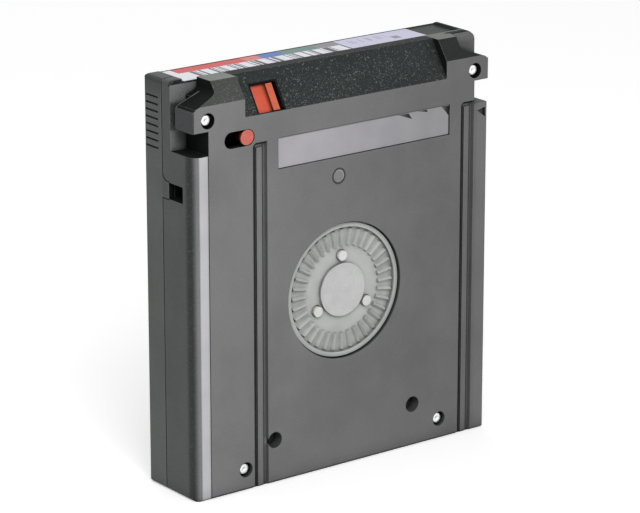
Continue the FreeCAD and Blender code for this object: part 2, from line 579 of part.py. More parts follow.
def coil(radius, wire_r, turns, start, length, direction):
    """Open coil spring of short straight runs, from start along direction; its wire is four-sided."""
    steps = int(COIL_STEPS * turns)
    points = []
    for i in range(steps + 1):
        angle = 2 * math.pi * i / COIL_STEPS
        points.append(V(radius * math.cos(angle), radius * math.sin(angle), length * i / steps))
    path = Part.makePolygon(points)
    first = (points[1] - points[0]).normalize()
    rim = []
    for i in range(5):
        angle = math.radians(90 * i)
        across = V(math.cos(angle), 0, 0) + first.cross(V(1, 0, 0)) * math.sin(angle)
        rim.append(points[0] + across.normalize() * wire_r)
    shape = path.makePipeShell([Part.makePolygon(rim)], True, True, 1)
    shape.Placement = FreeCAD.Placement(start, FreeCAD.Rotation(V(0, 0, 1), direction))
    return shape


def brake_spring():
    start = V(0, BRAKE_Y + BRAKE_T + BRAKE_WIRE_R + FIT, REEL_Z)
    length = INNER_Y - BRAKE_WIRE_R - FIT - start.y
    return coil(BRAKE_SPRING_R, BRAKE_WIRE_R, BRAKE_TURNS, start, length, V(0, 1, 0))


# ---------------------------------------------------------------- door, leader, memory

def door():
    """Flat door behind the opening, with a spring tab at its top and a groove for the drive's finger."""
    back_x, front_x = INNER_X - DOOR_T - FIT, INNER_X - FIT
    plate = box(back_x, front_x, -DOOR_HALF_Y - DOOR_LAP, DOOR_HALF_Y + DOOR_LAP,
                DOOR_Z0 - DOOR_LAP, DOOR_Z1 + DOOR_LAP)
    tab = box(back_x - DOOR_TAB_X, front_x, -DOOR_TAB_W / 2, DOOR_TAB_W / 2,
              DOOR_Z1 - 0.2, DOOR_Z1 + DOOR_LAP)
    grip_z = DOOR_Z0 + DOOR_GRIP_H
    groove = box(front_x - DOOR_GRIP_DEPTH, front_x + 1, -DOOR_HALF_Y, DOOR_HALF_Y,
                 grip_z, grip_z + DOOR_GRIP_H)
    return plate.fuse(tab).removeSplitter().cut(groove)


def door_spring():
    start = V(INNER_X - DOOR_T / 2 - 1.0, 0, DOOR_Z1 + DOOR_LAP + DOOR_WIRE_R + FIT)
    length = DOOR_STOP_Z - DOOR_WIRE_R - FIT - start.z
    return coil(DOOR_SPRING_R, DOOR_WIRE_R, DOOR_TURNS, start, length, V(0, 0, 1))


def leader_pin():
    shaft = rod_y(PIN_X, PIN_Z, PIN_R, -PIN_HALF, PIN_HALF)
    lower_end = rod_y(PIN_X, PIN_Z, PIN_END_R, -PIN_HALF, PIN_FLANGE_T - PIN_HALF)
    upper_end = rod_y(PIN_X, PIN_Z, PIN_END_R, PIN_HALF - PIN_FLANGE_T, PIN_HALF)
    return joined([shaft, lower_end, upper_end])


def leader_line():
    """Where the leader leaves the pack, its direction to the pin and its length to the pin's axis."""
    radius = PACK_R + FIT + LEADER_T / 2
    dx, dz = PIN_X, PIN_Z - REEL_Z
    reach = math.hypot(dx, dz)
    angle = math.atan2(dz, dx) - math.acos(radius / reach)
    start = V(radius * math.cos(angle), 0, REEL_Z + radius * math.sin(angle))
    along = V(PIN_X, 0, PIN_Z) - start
    return start, along, along.Length


def leader_slab(thick, start_at, end_at, half_y):
    """Slab round the leader's line between two distances from its start."""
    start, along = leader_line()[:2]
    slab = box(start_at, end_at, -half_y, half_y, -thick / 2, thick / 2)
    slab.rotate(V(0, 0, 0), V(0, 1, 0), -math.degrees(math.atan2(along.z, along.x)))
    slab.translate(start)
    return slab


def leader_tape():
    length = leader_line()[2]
    return leader_slab(LEADER_T, 0, length - PIN_R - FIT, TAPE_W / 2 - FIT)


def leader_clip():
    length = leader_line()[2]
    clip = leader_slab(CLIP_W, length - CLIP_W / 2, length + CLIP_W / 2, CLIP_HALF)
    clip = clip.cut(rod_y(PIN_X, PIN_Z, PIN_R + FIT, -CLIP_HALF - 1, CLIP_HALF + 1))
    return clip.cut(leader_slab(CLIP_SLOT, length - CLIP_W, length, CLIP_HALF + 1))


def pin_spring(sign):
    """Leaf across the mouth of one pin seat; sign is -1 in the lower shell and 1 in the upper."""
    x = PIN_X + SEAT_FRONT
    half = SEAT_H / 2 - LEAF_LAP
    y0, y1 = sorted((sign * (SEAT_Y + 0.1), sign * INNER_Y))
    leaf = box(x, x + LEAF_T, y0, y1, PIN_Z - half, PIN_Z + half)
    foot_y = (y0 + y1) / 2
    foot = box(x, x + LEAF_T + 0.2, foot_y - LEAF_FOOT_W / 2, foot_y + LEAF_FOOT_W / 2,
               PIN_Z - half, PIN_Z - half + LEAF_T)
    return leaf.fuse(foot).removeSplitter()


def memory_board():
    return board_frame(BOARD_L, BOARD_T, -INNER_Y + 2 * FIT, -INNER_Y + 2 * FIT + BOARD_H)


def memory_chip():
    chip = Part.makeBox(CHIP_L, CHIP_W, CHIP_T, V(-CHIP_L / 2, CHIP_Y0, BOARD_T / 2))
    chip.rotate(V(0, 0, 0), V(0, 1, 0), 45)
    chip.translate(V(BOARD_X, 0, BOARD_Z))
    return chip


# ---------------------------------------------------------------- slider, labels, screws

def write_protect_slider():
    """Pin in the slot, flat base and web behind the wall, and a ridged lever in the bevel's window."""
    back_y = -INNER_Y + 0.1 + WP_T
    pin = rod_y(WP_PIN_X, SLOT_Z, SLOT_R - WP_PIN_GAP, -HALF_T + WP_PIN_GAP, -INNER_Y + 1)
    base = box(WP_X0, WP_X1, -INNER_Y + 0.1, back_y, WP_FOOT_Z, WP_BASE_Z)
    web = box(WINDOW_X0 - 1.6, WP_X1, -INNER_Y + 0.3, back_y, WP_BASE_Z - 1.2, WP_WEB_Z)
    lever_x = WP_X1 + 0.1
    lever = bevel_prism(WP_LEVER_S0, WP_LEVER_S1, WINDOW_WALL + 0.1, WINDOW_WALL + 1.3,
                        WP_LEVER_X0, lever_x)
    ridge = bevel_prism(0.5, 8.8, 0.25, WINDOW_WALL + 0.3, lever_x - WP_RIDGE_W, lever_x)
    return joined([pin, base, web, lever, ridge])


def volume_label():
    floor_z = CASE_L - RIM
    return box(LABEL_X0, LABEL_X1, POCKET_Y0 + LABEL_GAP, POCKET_Y1 - LABEL_GAP, floor_z, floor_z + LABEL_T)


def base_label():
    floor_y = -HALF_T + PANEL_DEPTH
    edge = 0.2
    return box(PANEL_X0 + edge, PANEL_X1 - edge, floor_y - LABEL_T, floor_y,
               PANEL_Z0 + edge, PANEL_Z1 - edge)


def case_screw(x, z):
    head_y = -HALF_T + SCREW_SINK
    head = rod_y(x, z, SCREW_HEAD_R, head_y, head_y + SCREW_HEAD_H)
    return head.fuse(rod_y(x, z, SCREW_R, head_y, SCREW_TIP_Y)).removeSplitter()


def main():
    case = envelope()
    inside = cavity()
    nodes = {"lower_shell": lower_shell(case, inside),
             "upper_shell": upper_shell(case, inside),
             "reel_hub": reel_hub(),
             "upper_flange": upper_flange(),
             "tape_pack": tape_pack(),
             "drive_plate": drive_plate(),
             "release_pad": release_pad(),
             "brake": brake(),
             "brake_spring": brake_spring(),
             "door": door(),
             "door_spring": door_spring(),
             "leader_pin": leader_pin(),
             "leader_clip": leader_clip(),
             "leader_tape": leader_tape(),
             "lower_pin_spring": pin_spring(-1),
             "upper_pin_spring": pin_spring(1),
             "memory_board": memory_board(),
             "memory_chip": memory_chip(),
             "write_protect_slider": write_protect_slider(),
             "volume_label": volume_label(),
             "base_label": base_label()}
    names = ("label_left", "label_right", "base_left", "base_right")
    for name, (x, z) in zip(names, screw_places()):
        nodes["case_screw_" + name] = case_screw(x, z)
    os.makedirs("parts", exist_ok=True)
    for name, shape in nodes.items():
        print(name, shape.isValid(), len(shape.Solids), round(shape.Volume, 2))
        shape.exportStep("parts/" + name + ".step")


main()
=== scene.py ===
import json
import math

import bpy
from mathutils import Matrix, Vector

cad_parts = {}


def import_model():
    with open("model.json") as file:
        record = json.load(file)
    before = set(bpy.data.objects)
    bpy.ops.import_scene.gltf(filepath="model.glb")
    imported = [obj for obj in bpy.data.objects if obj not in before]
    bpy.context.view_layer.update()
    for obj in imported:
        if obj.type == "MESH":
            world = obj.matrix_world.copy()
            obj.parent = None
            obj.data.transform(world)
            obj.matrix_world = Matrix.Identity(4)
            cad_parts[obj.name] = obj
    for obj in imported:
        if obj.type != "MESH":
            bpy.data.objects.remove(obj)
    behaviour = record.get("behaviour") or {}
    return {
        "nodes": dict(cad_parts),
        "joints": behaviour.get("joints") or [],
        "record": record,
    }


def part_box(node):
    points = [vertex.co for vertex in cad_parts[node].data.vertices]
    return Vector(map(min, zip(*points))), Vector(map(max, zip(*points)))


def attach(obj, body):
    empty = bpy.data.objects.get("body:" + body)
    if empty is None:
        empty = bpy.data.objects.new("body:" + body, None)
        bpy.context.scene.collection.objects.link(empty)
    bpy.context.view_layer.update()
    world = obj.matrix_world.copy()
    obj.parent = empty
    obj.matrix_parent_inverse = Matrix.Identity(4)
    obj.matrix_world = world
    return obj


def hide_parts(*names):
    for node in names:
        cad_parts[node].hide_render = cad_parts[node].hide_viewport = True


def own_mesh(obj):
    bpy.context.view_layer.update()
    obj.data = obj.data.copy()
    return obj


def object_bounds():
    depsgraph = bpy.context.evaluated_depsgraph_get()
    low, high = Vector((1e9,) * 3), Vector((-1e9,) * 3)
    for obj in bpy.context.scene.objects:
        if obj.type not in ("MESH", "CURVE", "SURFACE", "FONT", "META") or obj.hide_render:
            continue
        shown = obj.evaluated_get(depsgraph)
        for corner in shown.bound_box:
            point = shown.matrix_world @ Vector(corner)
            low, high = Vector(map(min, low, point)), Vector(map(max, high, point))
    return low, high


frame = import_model()
CAD_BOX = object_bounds()
CASE_LO, CASE_HI = CAD_BOX
NODES = frame["nodes"]
MM = 0.001


def frame_joint(name):
    """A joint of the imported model."""
    return next(j for j in frame["joints"] if j["name"] == name)


def opening(name):
    """The low and high corners of one of the record's openings, in metres."""
    return next(o["box_m"] for o in frame["record"]["physics"]["openings"] if o["name"] == name)


# ---------------------------------------------------------------- shader building

# Spans that most of a noise's values lie in: the usual one, and a wider one for softer changes.
USUAL, WIDER = (0.3, 0.7), (0.2, 0.8)


class Shader:
    """A material's node tree, with short calls for the nodes that the finishes are made of.

    Places are in millimetres: x, y and z. nx, ny and nz are the flat face's own direction.
    """

    def __init__(self, name):
        self.material = bpy.data.materials.new(name)
        self.material.use_nodes = True
        self.tree = self.material.node_tree
        self.tree.nodes.clear()
        self.bsdf = self.add("ShaderNodeBsdfPrincipled")
        self.add("ShaderNodeOutputMaterial", {"Surface": self.bsdf.outputs[0]})
        self.mm = self.scaled(self.add("ShaderNodeTexCoord").outputs["Object"], 1 / MM)
        self.x, self.y, self.z = self.split(self.mm)
        self.nx, self.ny, self.nz = self.split(self.add("ShaderNodeNewGeometry").outputs["True Normal"])

    def add(self, kind, inputs=(), **settings):
        """A new node, with its settings made and the given inputs filled, by name or by place."""
        node = self.tree.nodes.new(kind)
        for key, value in settings.items():
            setattr(node, key, value)
        for key, value in dict(inputs).items():
            self.put(node.inputs[key], value)
        return node

    def put(self, socket, value):
        """Links another node's output to a socket, or writes a number, vector or colour on it."""
        if isinstance(value, bpy.types.NodeSocket):
            self.tree.links.new(value, socket)
        elif socket.type == "RGBA":
            socket.default_value = (*value[:3], 1.0)
        else:
            socket.default_value = value

    def split(self, vector):
        return self.add("ShaderNodeSeparateXYZ", {0: vector}).outputs

    def math(self, operation, *values):
        return self.add("ShaderNodeMath", enumerate(values), operation=operation).outputs[0]

    def over(self, a, b):
        """1 where a is greater than b."""
        return self.math("GREATER_THAN", a, b)

    def under(self, a, b):
        """1 where a is less than b."""
        return self.math("LESS_THAN", a, b)

    def between(self, value, low, high):
        return self.every(self.over(value, low), self.under(value, high))

    def every(self, *masks):
        """The masks multiplied: where all of them are. A number among them makes the result fainter."""
        total = masks[0]
        for mask in masks[1:]:
            total = self.math("MULTIPLY", total, mask)
        return total

    def either(self, *masks):
        """The strongest of the masks: where any of them is."""
        total = masks[0]
        for mask in masks[1:]:
            total = self.math("MAXIMUM", total, mask)
        return total

    def negate(self, mask):
        return self.math("SUBTRACT", 1.0, mask)

    def area(self, **spans):
        """1 where each named place or direction is within its (low, high) span; None is an open end."""
        masks = []
        for name, (low, high) in spans.items():
            value = getattr(self, name)
            if low is not None:
                masks.append(self.over(value, low))
            if high is not None:
                masks.append(self.under(value, high))
        return self.every(*masks)

    def smooth(self, value, low, high, to_low=0.0, to_high=1.0):
        """Goes softly from `to_low` to `to_high` as the value goes from `low` to `high`."""
        inputs = enumerate((value, low, high, to_low, to_high))
        return self.add("ShaderNodeMapRange", inputs, interpolation_type="SMOOTHSTEP").outputs[0]

    def mix(self, factor, a, b):
        """Colour between a and b. In the Mix node the colours are inputs 6 and 7, and the result is 2."""
        return self.add("ShaderNodeMix", {0: factor, 6: a, 7: b}, data_type="RGBA").outputs[2]

    def blend(self, factor, a, b):
        """Number between a and b. In the Mix node the numbers are inputs 2 and 3."""
        return self.add("ShaderNodeMix", {0: factor, 2: a, 3: b}, data_type="FLOAT").outputs[0]

    def scaled(self, vector, factor):
        """A place or a colour times a number."""
        inputs = {0: vector, "Scale": factor}
        return self.add("ShaderNodeVectorMath", inputs, operation="SCALE").outputs[0]

    def mottled(self, color, noise, darkest, lightest, span=USUAL):
        """The colour made darker and lighter by a noise, over a span of its values."""
        return self.scaled(color, self.smooth(noise, *span, darkest, lightest))

    def radius(self, x, z):
        """Distance from an axis along Y at x and z, in mm, and its parts along x and z."""
        dx = self.math("SUBTRACT", self.x, x)
        dz = self.math("SUBTRACT", self.z, z)
        squares = self.math("MULTIPLY_ADD", dx, dx, self.math("MULTIPLY", dz, dz))
        return self.math("SQRT", squares), dx, dz

    def noise(self, kind, place=None):
        """Smooth noise; its kind is features for each mm, steps of finer detail, and their strength."""
        per_mm, detail, rough = kind
        inputs = {"Vector": place or self.mm, "Scale": per_mm, "Detail": detail, "Roughness": rough}
        return self.add("ShaderNodeTexNoise", inputs).outputs[0]

    def streaks(self, kind, squeeze):
        """Noise squeezed along each axis by a factor, so that it runs long where the factor is small."""
        inputs = {0: self.mm, 1: squeeze}
        place = self.add("ShaderNodeVectorMath", inputs, operation="MULTIPLY").outputs[0]
        return self.noise(kind, place)

    def rings(self, kind, x, z):
        """Noise that changes only with the distance from an axis along Y."""
        return self.noise(kind, self.add("ShaderNodeCombineXYZ", {0: self.radius(x, z)[0]}).outputs[0])

    def cells(self, per_mm):
        """Distance from the nearest of many scattered points, and a random number for that point."""
        node = self.add("ShaderNodeTexVoronoi", {"Vector": self.mm, "Scale": per_mm})
        return node.outputs["Distance"], self.split(node.outputs["Color"])[0]

    def random_columns(self, width_mm):
        """A random number for each column of a width across x."""
        column = self.math("FLOOR", self.math("DIVIDE", self.x, width_mm))
        return self.add("ShaderNodeTexWhiteNoise", {"W": column}, noise_dimensions="1D").outputs["Value"]

    def soft_edges(self, radius_mm, flat=0.975, sharp=0.82):
        """Normals rounded over the edges, and how strongly each point is on an edge.

        `flat` and `sharp` are the cosines of the turn of the normal at which an edge starts and is full.
        """
        rounded = self.add("ShaderNodeBevel", {"Radius": radius_mm * MM}, samples=6).outputs[0]
        plain = self.add("ShaderNodeNewGeometry").outputs["Normal"]
        turn = self.add("ShaderNodeVectorMath", {0: rounded, 1: plain}, operation="DOT_PRODUCT")
        return rounded, self.smooth(turn.outputs["Value"], flat, sharp)

    def painted_corner_shade(self, reach_mm, darkest, closed=0.30, clear=0.92):
        """Painted shade: 1 in the open, and down to `darkest` in corners and recesses.

        `closed` and `clear` are the open shares at which a place is darkest and not darkened at all.
        """
        inputs = {"Distance": reach_mm * MM}
        node = self.add("ShaderNodeAmbientOcclusion", inputs, samples=6, only_local=False)
        return self.smooth(node.outputs["AO"], closed, clear, darkest, 1.0)

    def bump(self, height, strength, depth_mm, normal=None):
        inputs = {"Height": height, "Strength": strength, "Distance": depth_mm * MM}
        if normal is not None:
            inputs["Normal"] = normal
        return self.add("ShaderNodeBump", inputs).outputs[0]

    def finish(self, color, rough, normal=None, metallic=0.0, **fixed):
        """Fills the material's surface; `fixed` are further inputs of it, kept constant."""
        self.put(self.bsdf.inputs["Base Color"], color)
        self.put(self.bsdf.inputs["Roughness"], rough)
        self.bsdf.inputs["Metallic"].default_value = metallic
        if normal is not None:
            self.put(self.bsdf.inputs["Normal"], normal)
        for name, value in fixed.items():
            self.bsdf.inputs[name.replace("_", " ")].default_value = value
        return self.material


def grey(value, tint=(1.0, 1.0, 1.0)):
    """A grey, a little coloured by its tint."""
    return tuple(value * t for t in tint)


# ---------------------------------------------------------------- places on the case, in millimetres

LEFT, RIGHT = -CASE_HI.x / MM, CASE_HI.x / MM
FRONT, BACK = CASE_LO.y / MM, CASE_HI.y / MM
TOP = CASE_HI.z / MM

# The raised label end starts just under the gripper notches, and RAISED is its span along z.
NOTCH = opening("left_gripper_notch")[0][2] / MM - 0.3
RAISED = (NOTCH - 0.2, TOP - 0.02)
PARTING = BACK - 9.05
# The grip's painted shade grows over this span toward the top.
GRIP_FADE = (TOP - 1.5, TOP - 9.0)

# The lugs, the walls behind them, the columns beside the bevel, the right shoulder's round, and the spans
# along z over which the shade beside the left lug comes and goes.
LUG_BACK, LUG_LOW, LUG_TOP = FRONT + 8.55, TOP - 13.4, TOP - 6.8
LEFT_WALL, RIGHT_WALL = FRONT + 11.15, FRONT + 6.85
COLUMN_LEFT, COLUMN_RIGHT = LEFT + 9.3, RIGHT - 9.3
SHOULDER_BACK = RIGHT_WALL + 2.8
SHOULDER_LEFT, SHOULDER_LOW = COLUMN_RIGHT + 0.85, NOTCH + 13
LUG_SHADE_LOW, LUG_SHADE_TOP = (LUG_LOW - 1.7, LUG_LOW - 0.7), (LUG_TOP + 1.2, LUG_TOP - 0.2)

# The grip bevel across the label end, its slope, and the slider's window in it, measured up the slope, and
# the width of the painted shadow line round the window.
BEVEL_SPAN = (LEFT + 18.3, RIGHT - 16.2)
BEVEL_LOW, BEVEL_RUN, BEVEL_RISE = TOP - 11.2, 7.05, 11.2
WINDOW_LEFT, WINDOW_RIGHT, WINDOW_LOW, WINDOW_TOP = LEFT + 23.5, LEFT + 32.6, 0.3, 9.1
WINDOW_SHADOW_WIDTH = 0.5

# The label pocket's front, back and right walls, and the shade along the last two.
POCKET_FRONT, POCKET_BACK, POCKET_RIGHT = FRONT + 10.95, BACK - 0.65, RIGHT - 2.2
POCKET_SHADE_BACK = (POCKET_BACK - 2.6, POCKET_BACK - 1.0)
POCKET_SHADE_RIGHT = (POCKET_RIGHT - 3.0, POCKET_RIGHT - 1.2)

# The side pocket, and how far its mask reaches past the opening's box to take in its walls.
CATCH_LO, CATCH_HI = opening("side_pocket")
CATCH_REACH = 0.4

# The guide grooves: their middles across x, half width, depth, half width of the rib, and upper end.
GROOVE_MIDDLES = (LEFT + 23.55, RIGHT - 8.1)
GROOVE_HALF, GROOVE_DEEP, GROOVE_RIB_HALF = 2.55, 1.0, 0.95
GROOVE_TOP = TOP - 19.4

# Widths of the grooves' wall with painted light and of the painted shadow lines by the left wall, by the
# top and by the rib, how dark the rib's painted shadow line is beside the others, and how far a mask
# reaches past the groove's own faces.
LIT_WALL, LINE_LEFT, LINE_TOP, LINE_RIB = 1.5, 1.45, 0.85, 0.75
RIB_LINE_STRENGTH = 0.7
SKIN, DEPTH_SKIN = 0.05, 0.1

# The long left edge: how far its round reaches back and in, and where its strip begins and is full. The
# round gets painted shade; the polished strip's pale tone is a painted highlight, which comes in softly
# from its start.
EDGE_BACK, EDGE_RIGHT = FRONT + 4.8, LEFT + 5.52
ROUND_FULL = FRONT + 2.7
STRIP_START_SPAN = (LEFT + 0.5, LEFT + 1.9)
STRIP_SPAN = (LEFT + 2.15, LEFT + 2.55)

# Spans of a face's direction. -1 along y faces the front, -1 along x the left, and 1 along z upward.
FRONT_FLAT, FRONT_FACING, FRONT_SLOPING = (None, -0.995), (None, -0.9), (-0.97, -0.3)
FRONT_TURNED, NOT_FRONT = (None, -0.05), (-0.9, None)
LEFT_FACING = (None, -0.5)
UP_FLAT, UP_FACING, UP_SLOPING, UP_LEANING, UP_SLIGHTLY = (
    (0.9, None), (0.62, None), (0.3, None), (0.2, None), (0.1, None))

# The case's areas, each as the spans that its faces lie in, with a small margin. None is an open end.
AREAS = {
    "across_bevel": {"x": BEVEL_SPAN},
    "sloped": {"z": (NOTCH + 6, None), "ny": FRONT_SLOPING, "nz": UP_LEANING},
    "top": {"z": (TOP - 2.1, None), "nz": UP_FACING},
    "front_top": {"y": (None, POCKET_FRONT), "z": (TOP - 0.3, None), "nz": UP_FACING},
    "wide": {"y": (None, FRONT + 1.3), "ny": FRONT_FLAT},
    "grip": {"y": (PARTING, None), "nx": LEFT_FACING},
    "turned_away": {"x": (LEFT + 0.3, RIGHT - 0.3), "y": (None, LEFT_WALL + 0.05), "z": RAISED,
                    "ny": NOT_FRONT},
    "right_ledge": {"x": (0.0, None), "z": (None, NOTCH + 0.6), "nz": UP_FLAT},
    "catch": {"x": (LEFT + 0.12, None),
              "y": (CATCH_LO[1] / MM - CATCH_REACH, CATCH_HI[1] / MM + CATCH_REACH),
              "z": (CATCH_LO[2] / MM - CATCH_REACH, CATCH_HI[2] / MM + CATCH_REACH)},
    "lug_side": {"x": (None, LEFT + 0.8), "y": (None, LUG_BACK + 0.1), "z": (RAISED[0], None),
                 "nx": LEFT_FACING},
    "recess": {"x": (None, COLUMN_LEFT), "y": (LUG_BACK + 0.5, None), "z": RAISED, "ny": FRONT_FACING},
    # A painted highlight line along the ramp's back edge.
    "ramp_edge_highlight": {"x": (None, COLUMN_LEFT - 1.0), "y": (LUG_BACK - 0.32, LUG_BACK + 0.1),
                  "z": (LUG_TOP - 0.3, None), "nz": UP_SLIGHTLY},
    "left_cap": {"x": (None, LEFT + 4.2), "z": (TOP - 2.1, None), "nz": UP_LEANING},
    # The cap's front edge, where a painted shade band runs under the label's left end.
    "cap_front": {"x": (None, LEFT + 4.4), "y": (LEFT_WALL - 0.2, LEFT_WALL + 0.9),
                  "z": (TOP - 2.0, None), "nz": UP_LEANING},
    "shoulder": {"x": (SHOULDER_LEFT, None), "y": (RIGHT_WALL - 0.05, SHOULDER_BACK),
                 "z": (SHOULDER_LOW, None)},
    "shoulder_groove": {"x": (SHOULDER_LEFT, None), "y": (SHOULDER_BACK - 0.05, SHOULDER_BACK + 0.5),
                        "z": (SHOULDER_LOW, None)},
    # A painted shadow line on the top along the shoulder's groove.
    "shoulder_shadow_line": {"x": (COLUMN_RIGHT - 0.4, None), "y": (SHOULDER_BACK - 1.3, SHOULDER_BACK + 0.35),
                      "z": (TOP - 1.6, None), "nz": UP_SLOPING},
    "edge": {"x": (None, EDGE_RIGHT), "y": (None, EDGE_BACK), "z": (None, NOTCH)},
    "key_flat": {"x": (RIGHT - 4.8, None), "y": (None, FRONT + 4.0), "z": (None, NOTCH),
                 "ny": FRONT_TURNED},
}


def case_areas(s):
    """Masks, by name, for the case's differently finished areas and for its areas of painted shade and
    highlight.
    """
    on = {name: s.area(**spans) for name, spans in AREAS.items()}
    beside = s.negate(on["across_bevel"])
    on_left = s.area(x=(None, 0.0))
    on_right = s.area(x=(0.0, None))
    on["bevel"] = s.every(s.either(on["sloped"], on["front_top"]), on["across_bevel"])
    on["textured"] = s.either(on["sloped"], on["bevel"])
    on["left_column"] = s.every(on["sloped"], beside, on_left)
    on["right_column"] = s.every(on["sloped"], beside, on_right)
    on["bevel_top"] = s.every(on["front_top"], on["across_bevel"])
    on["column_top"] = s.every(on["front_top"], beside)
    # Painted shade on the right column's top, darker as the light falls off to the right.
    on["right_top_shade"] = s.every(on["column_top"], on_right)
    # Painted black shade on faces turned away inside the raised end, in the side pocket and in the
    # shoulder's groove.
    inner = s.every(on["turned_away"], s.negate(s.either(on["right_ledge"], on["shoulder"])))
    on["dark"] = s.either(inner, on["catch"], on["shoulder_groove"])
    # A painted shadow line round the slider's window.
    on["window_shadow_line"] = s.every(on["sloped"], window_frame(s))
    # Painted shade band along the rounded top of the recess wall and the cap's front edge.
    on["cap_shade_line"] = s.either(on["cap_front"], s.every(on["recess"], s.area(z=(TOP - 1.35, None))))
    on["lit_groove_wall"], on["groove_line"] = groove_masks(s)
    turned = s.every(on["edge"], s.area(ny=FRONT_TURNED))
    # Painted shade on the left edge's round, and a painted highlight on the polished strip and its soft
    # start.
    on["round"] = s.every(on["edge"], s.smooth(s.y, EDGE_BACK, ROUND_FULL))
    on["strip_start"] = s.every(turned, s.smooth(s.x, *STRIP_START_SPAN))
    on["strip"] = s.every(turned, s.smooth(s.x, *STRIP_SPAN))
    return on


def window_frame(s):
    """Mask for the slider's window in the bevel and a painted shadow line's width round it."""
    length = math.hypot(BEVEL_RUN, BEVEL_RISE)
    inward = s.math("SUBTRACT", s.y, FRONT)
    upward = s.math("MULTIPLY", s.math("SUBTRACT", s.z, BEVEL_LOW), BEVEL_RISE / length)
    up_slope = s.math("MULTIPLY_ADD", inward, BEVEL_RUN / length, upward)
    return s.every(s.area(x=(WINDOW_LEFT - WINDOW_SHADOW_WIDTH, WINDOW_RIGHT + WINDOW_SHADOW_WIDTH)),
                   s.between(up_slope, WINDOW_LOW - WINDOW_SHADOW_WIDTH, WINDOW_TOP + WINDOW_SHADOW_WIDTH))


def groove_masks(s):
    """The guide grooves' right walls with painted light, and the painted shadow lines along their left
    walls, tops and ribs.
    """
    floor_y = FRONT + GROOVE_DEEP
    walls, lines = 0.0, 0.0
    for middle in GROOVE_MIDDLES:
        left, right = middle - GROOVE_HALF, middle + GROOVE_HALF
        rib = middle + GROOVE_RIB_HALF
        wall = s.area(x=(right - LIT_WALL, right + SKIN), y=(FRONT + 0.04, floor_y + DEPTH_SKIN),
                      nx=LEFT_FACING)
        bed = s.area(x=(left - SKIN, right + SKIN), y=(floor_y - DEPTH_SKIN, floor_y + DEPTH_SKIN),
                     ny=FRONT_FACING)
        by_wall = s.area(x=(None, left + LINE_LEFT))
        by_top = s.area(z=(GROOVE_TOP - LINE_TOP, None))
        by_rib = s.every(s.area(x=(rib, rib + LINE_RIB)), RIB_LINE_STRENGTH)
        walls = s.either(walls, wall)
        lines = s.either(lines, s.every(bed, s.either(by_wall, by_top, by_rib)))
    return walls, lines


# ---------------------------------------------------------------- the case's plastic

GREENISH = (0.95, 1.03, 1.0)
SIDE_TONE = grey(0.100, GREENISH)
# Near-black tone of painted shadow, for hidden faces, recesses and shadow lines.
PAINTED_SHADOW_TONE = grey(0.006, (0.92, 1.03, 1.05))
GLINT_TONE = grey(0.30, (0.93, 1.05, 0.99))
# Tone of the painted highlight on the case's rounded edges.
RIM_LIGHT_TONE = grey(0.26, GREENISH)

# Tones by area, over SIDE_TONE, some of them painted shade and highlight. A later row lies over the earlier
# ones.
AREA_TONES = [
    ("wide", grey(0.190, (1.0, 0.995, 1.01))),
    ("grip", grey(0.122, (0.97, 1.02, 0.99))),
    ("recess", grey(0.215, (0.99, 1.0, 1.01))),
    ("lug_side", grey(0.060, (0.97, 1.01, 1.04))),
    # Painted black shade.
    ("dark", PAINTED_SHADOW_TONE),
    ("left_column", grey(0.066, (0.96, 1.03, 0.97))),
    ("right_column", grey(0.028, (0.96, 1.03, 0.99))),
    ("top", grey(0.034, (0.95, 1.03, 0.98))),
    ("left_cap", grey(0.085, (0.97, 1.02, 1.01))),
    ("bevel", grey(0.032, (0.92, 1.04, 1.03))),
    ("bevel_top", grey(0.013, (0.95, 1.03, 1.02))),
    # Painted shadow line round the slider's window.
    ("window_shadow_line", PAINTED_SHADOW_TONE),
    ("column_top", grey(0.20, (0.99, 1.02, 0.96))),
    # Painted shade: the right column's top, darker as the light falls off.
    ("right_top_shade", grey(0.152, (0.99, 1.02, 0.97))),
    # Painted light on the grooves' right walls.
    ("lit_groove_wall", grey(0.17)),
    ("shoulder", grey(0.135, (0.99, 1.0, 1.0))),
    # Painted shadow line by the shoulder.
    ("shoulder_shadow_line", PAINTED_SHADOW_TONE),
    # Painted shade band under the label's left end.
    ("cap_shade_line", grey(0.018)),
    # Painted highlight line on the ramp's back edge.
    ("ramp_edge_highlight", grey(0.20)),
    # Painted shade on the rounded left edge.
    ("round", grey(0.040, (0.96, 1.03, 1.0))),
    # Painted highlight on the polished strip, softly from its start.
    ("strip_start", grey(0.22, (0.99, 0.99, 1.02))),
    ("strip", grey(0.53, (1.0, 0.995, 1.03))),
    ("key_flat", grey(0.21)),
]

# Other qualities: the plain value, and the values by area. A later row lies over the earlier ones.
QUALITIES = {
    "grain": (0.55, [("textured", 1.2), ("recess", 1.2), ("wide", 0.30)]),
    # How strongly the painted glints show, by area.
    "sparks": (0.24, [("wide", 0.20), ("strip", 0.0), ("dark", 0.0), ("bevel", 0.74),
                      ("left_column", 0.60), ("recess", 0.60), ("shoulder", 0.05),
                      ("right_column", 0.05), ("window_shadow_line", 0.0)]),
    "rim_light": (0.55, [("window_shadow_line", 0.0)]),
    "roughness": (0.52, [("textured", 0.66), ("wide", 0.56), ("strip", 0.24), ("dark", 0.95)]),
    "relief": (0.30, [("bevel", 0.70), ("wide", 0.12), ("strip", 0.03), ("right_column", 0.03)]),
}

# Factors for the places with painted shade: the grip's upper end, the wide face's left and right ends as
# the light falls off to the right, the grooves' painted shadow lines, the painted shadow in the recess
# beside the left lug, and the label pocket along its walls.
GRIP_SHADE, WIDE_SHADES = 0.62, (1.05, 0.80)
LINE_SHADE, LUG_SHADE, POCKET_SHADE = 0.14, 0.28, 0.22

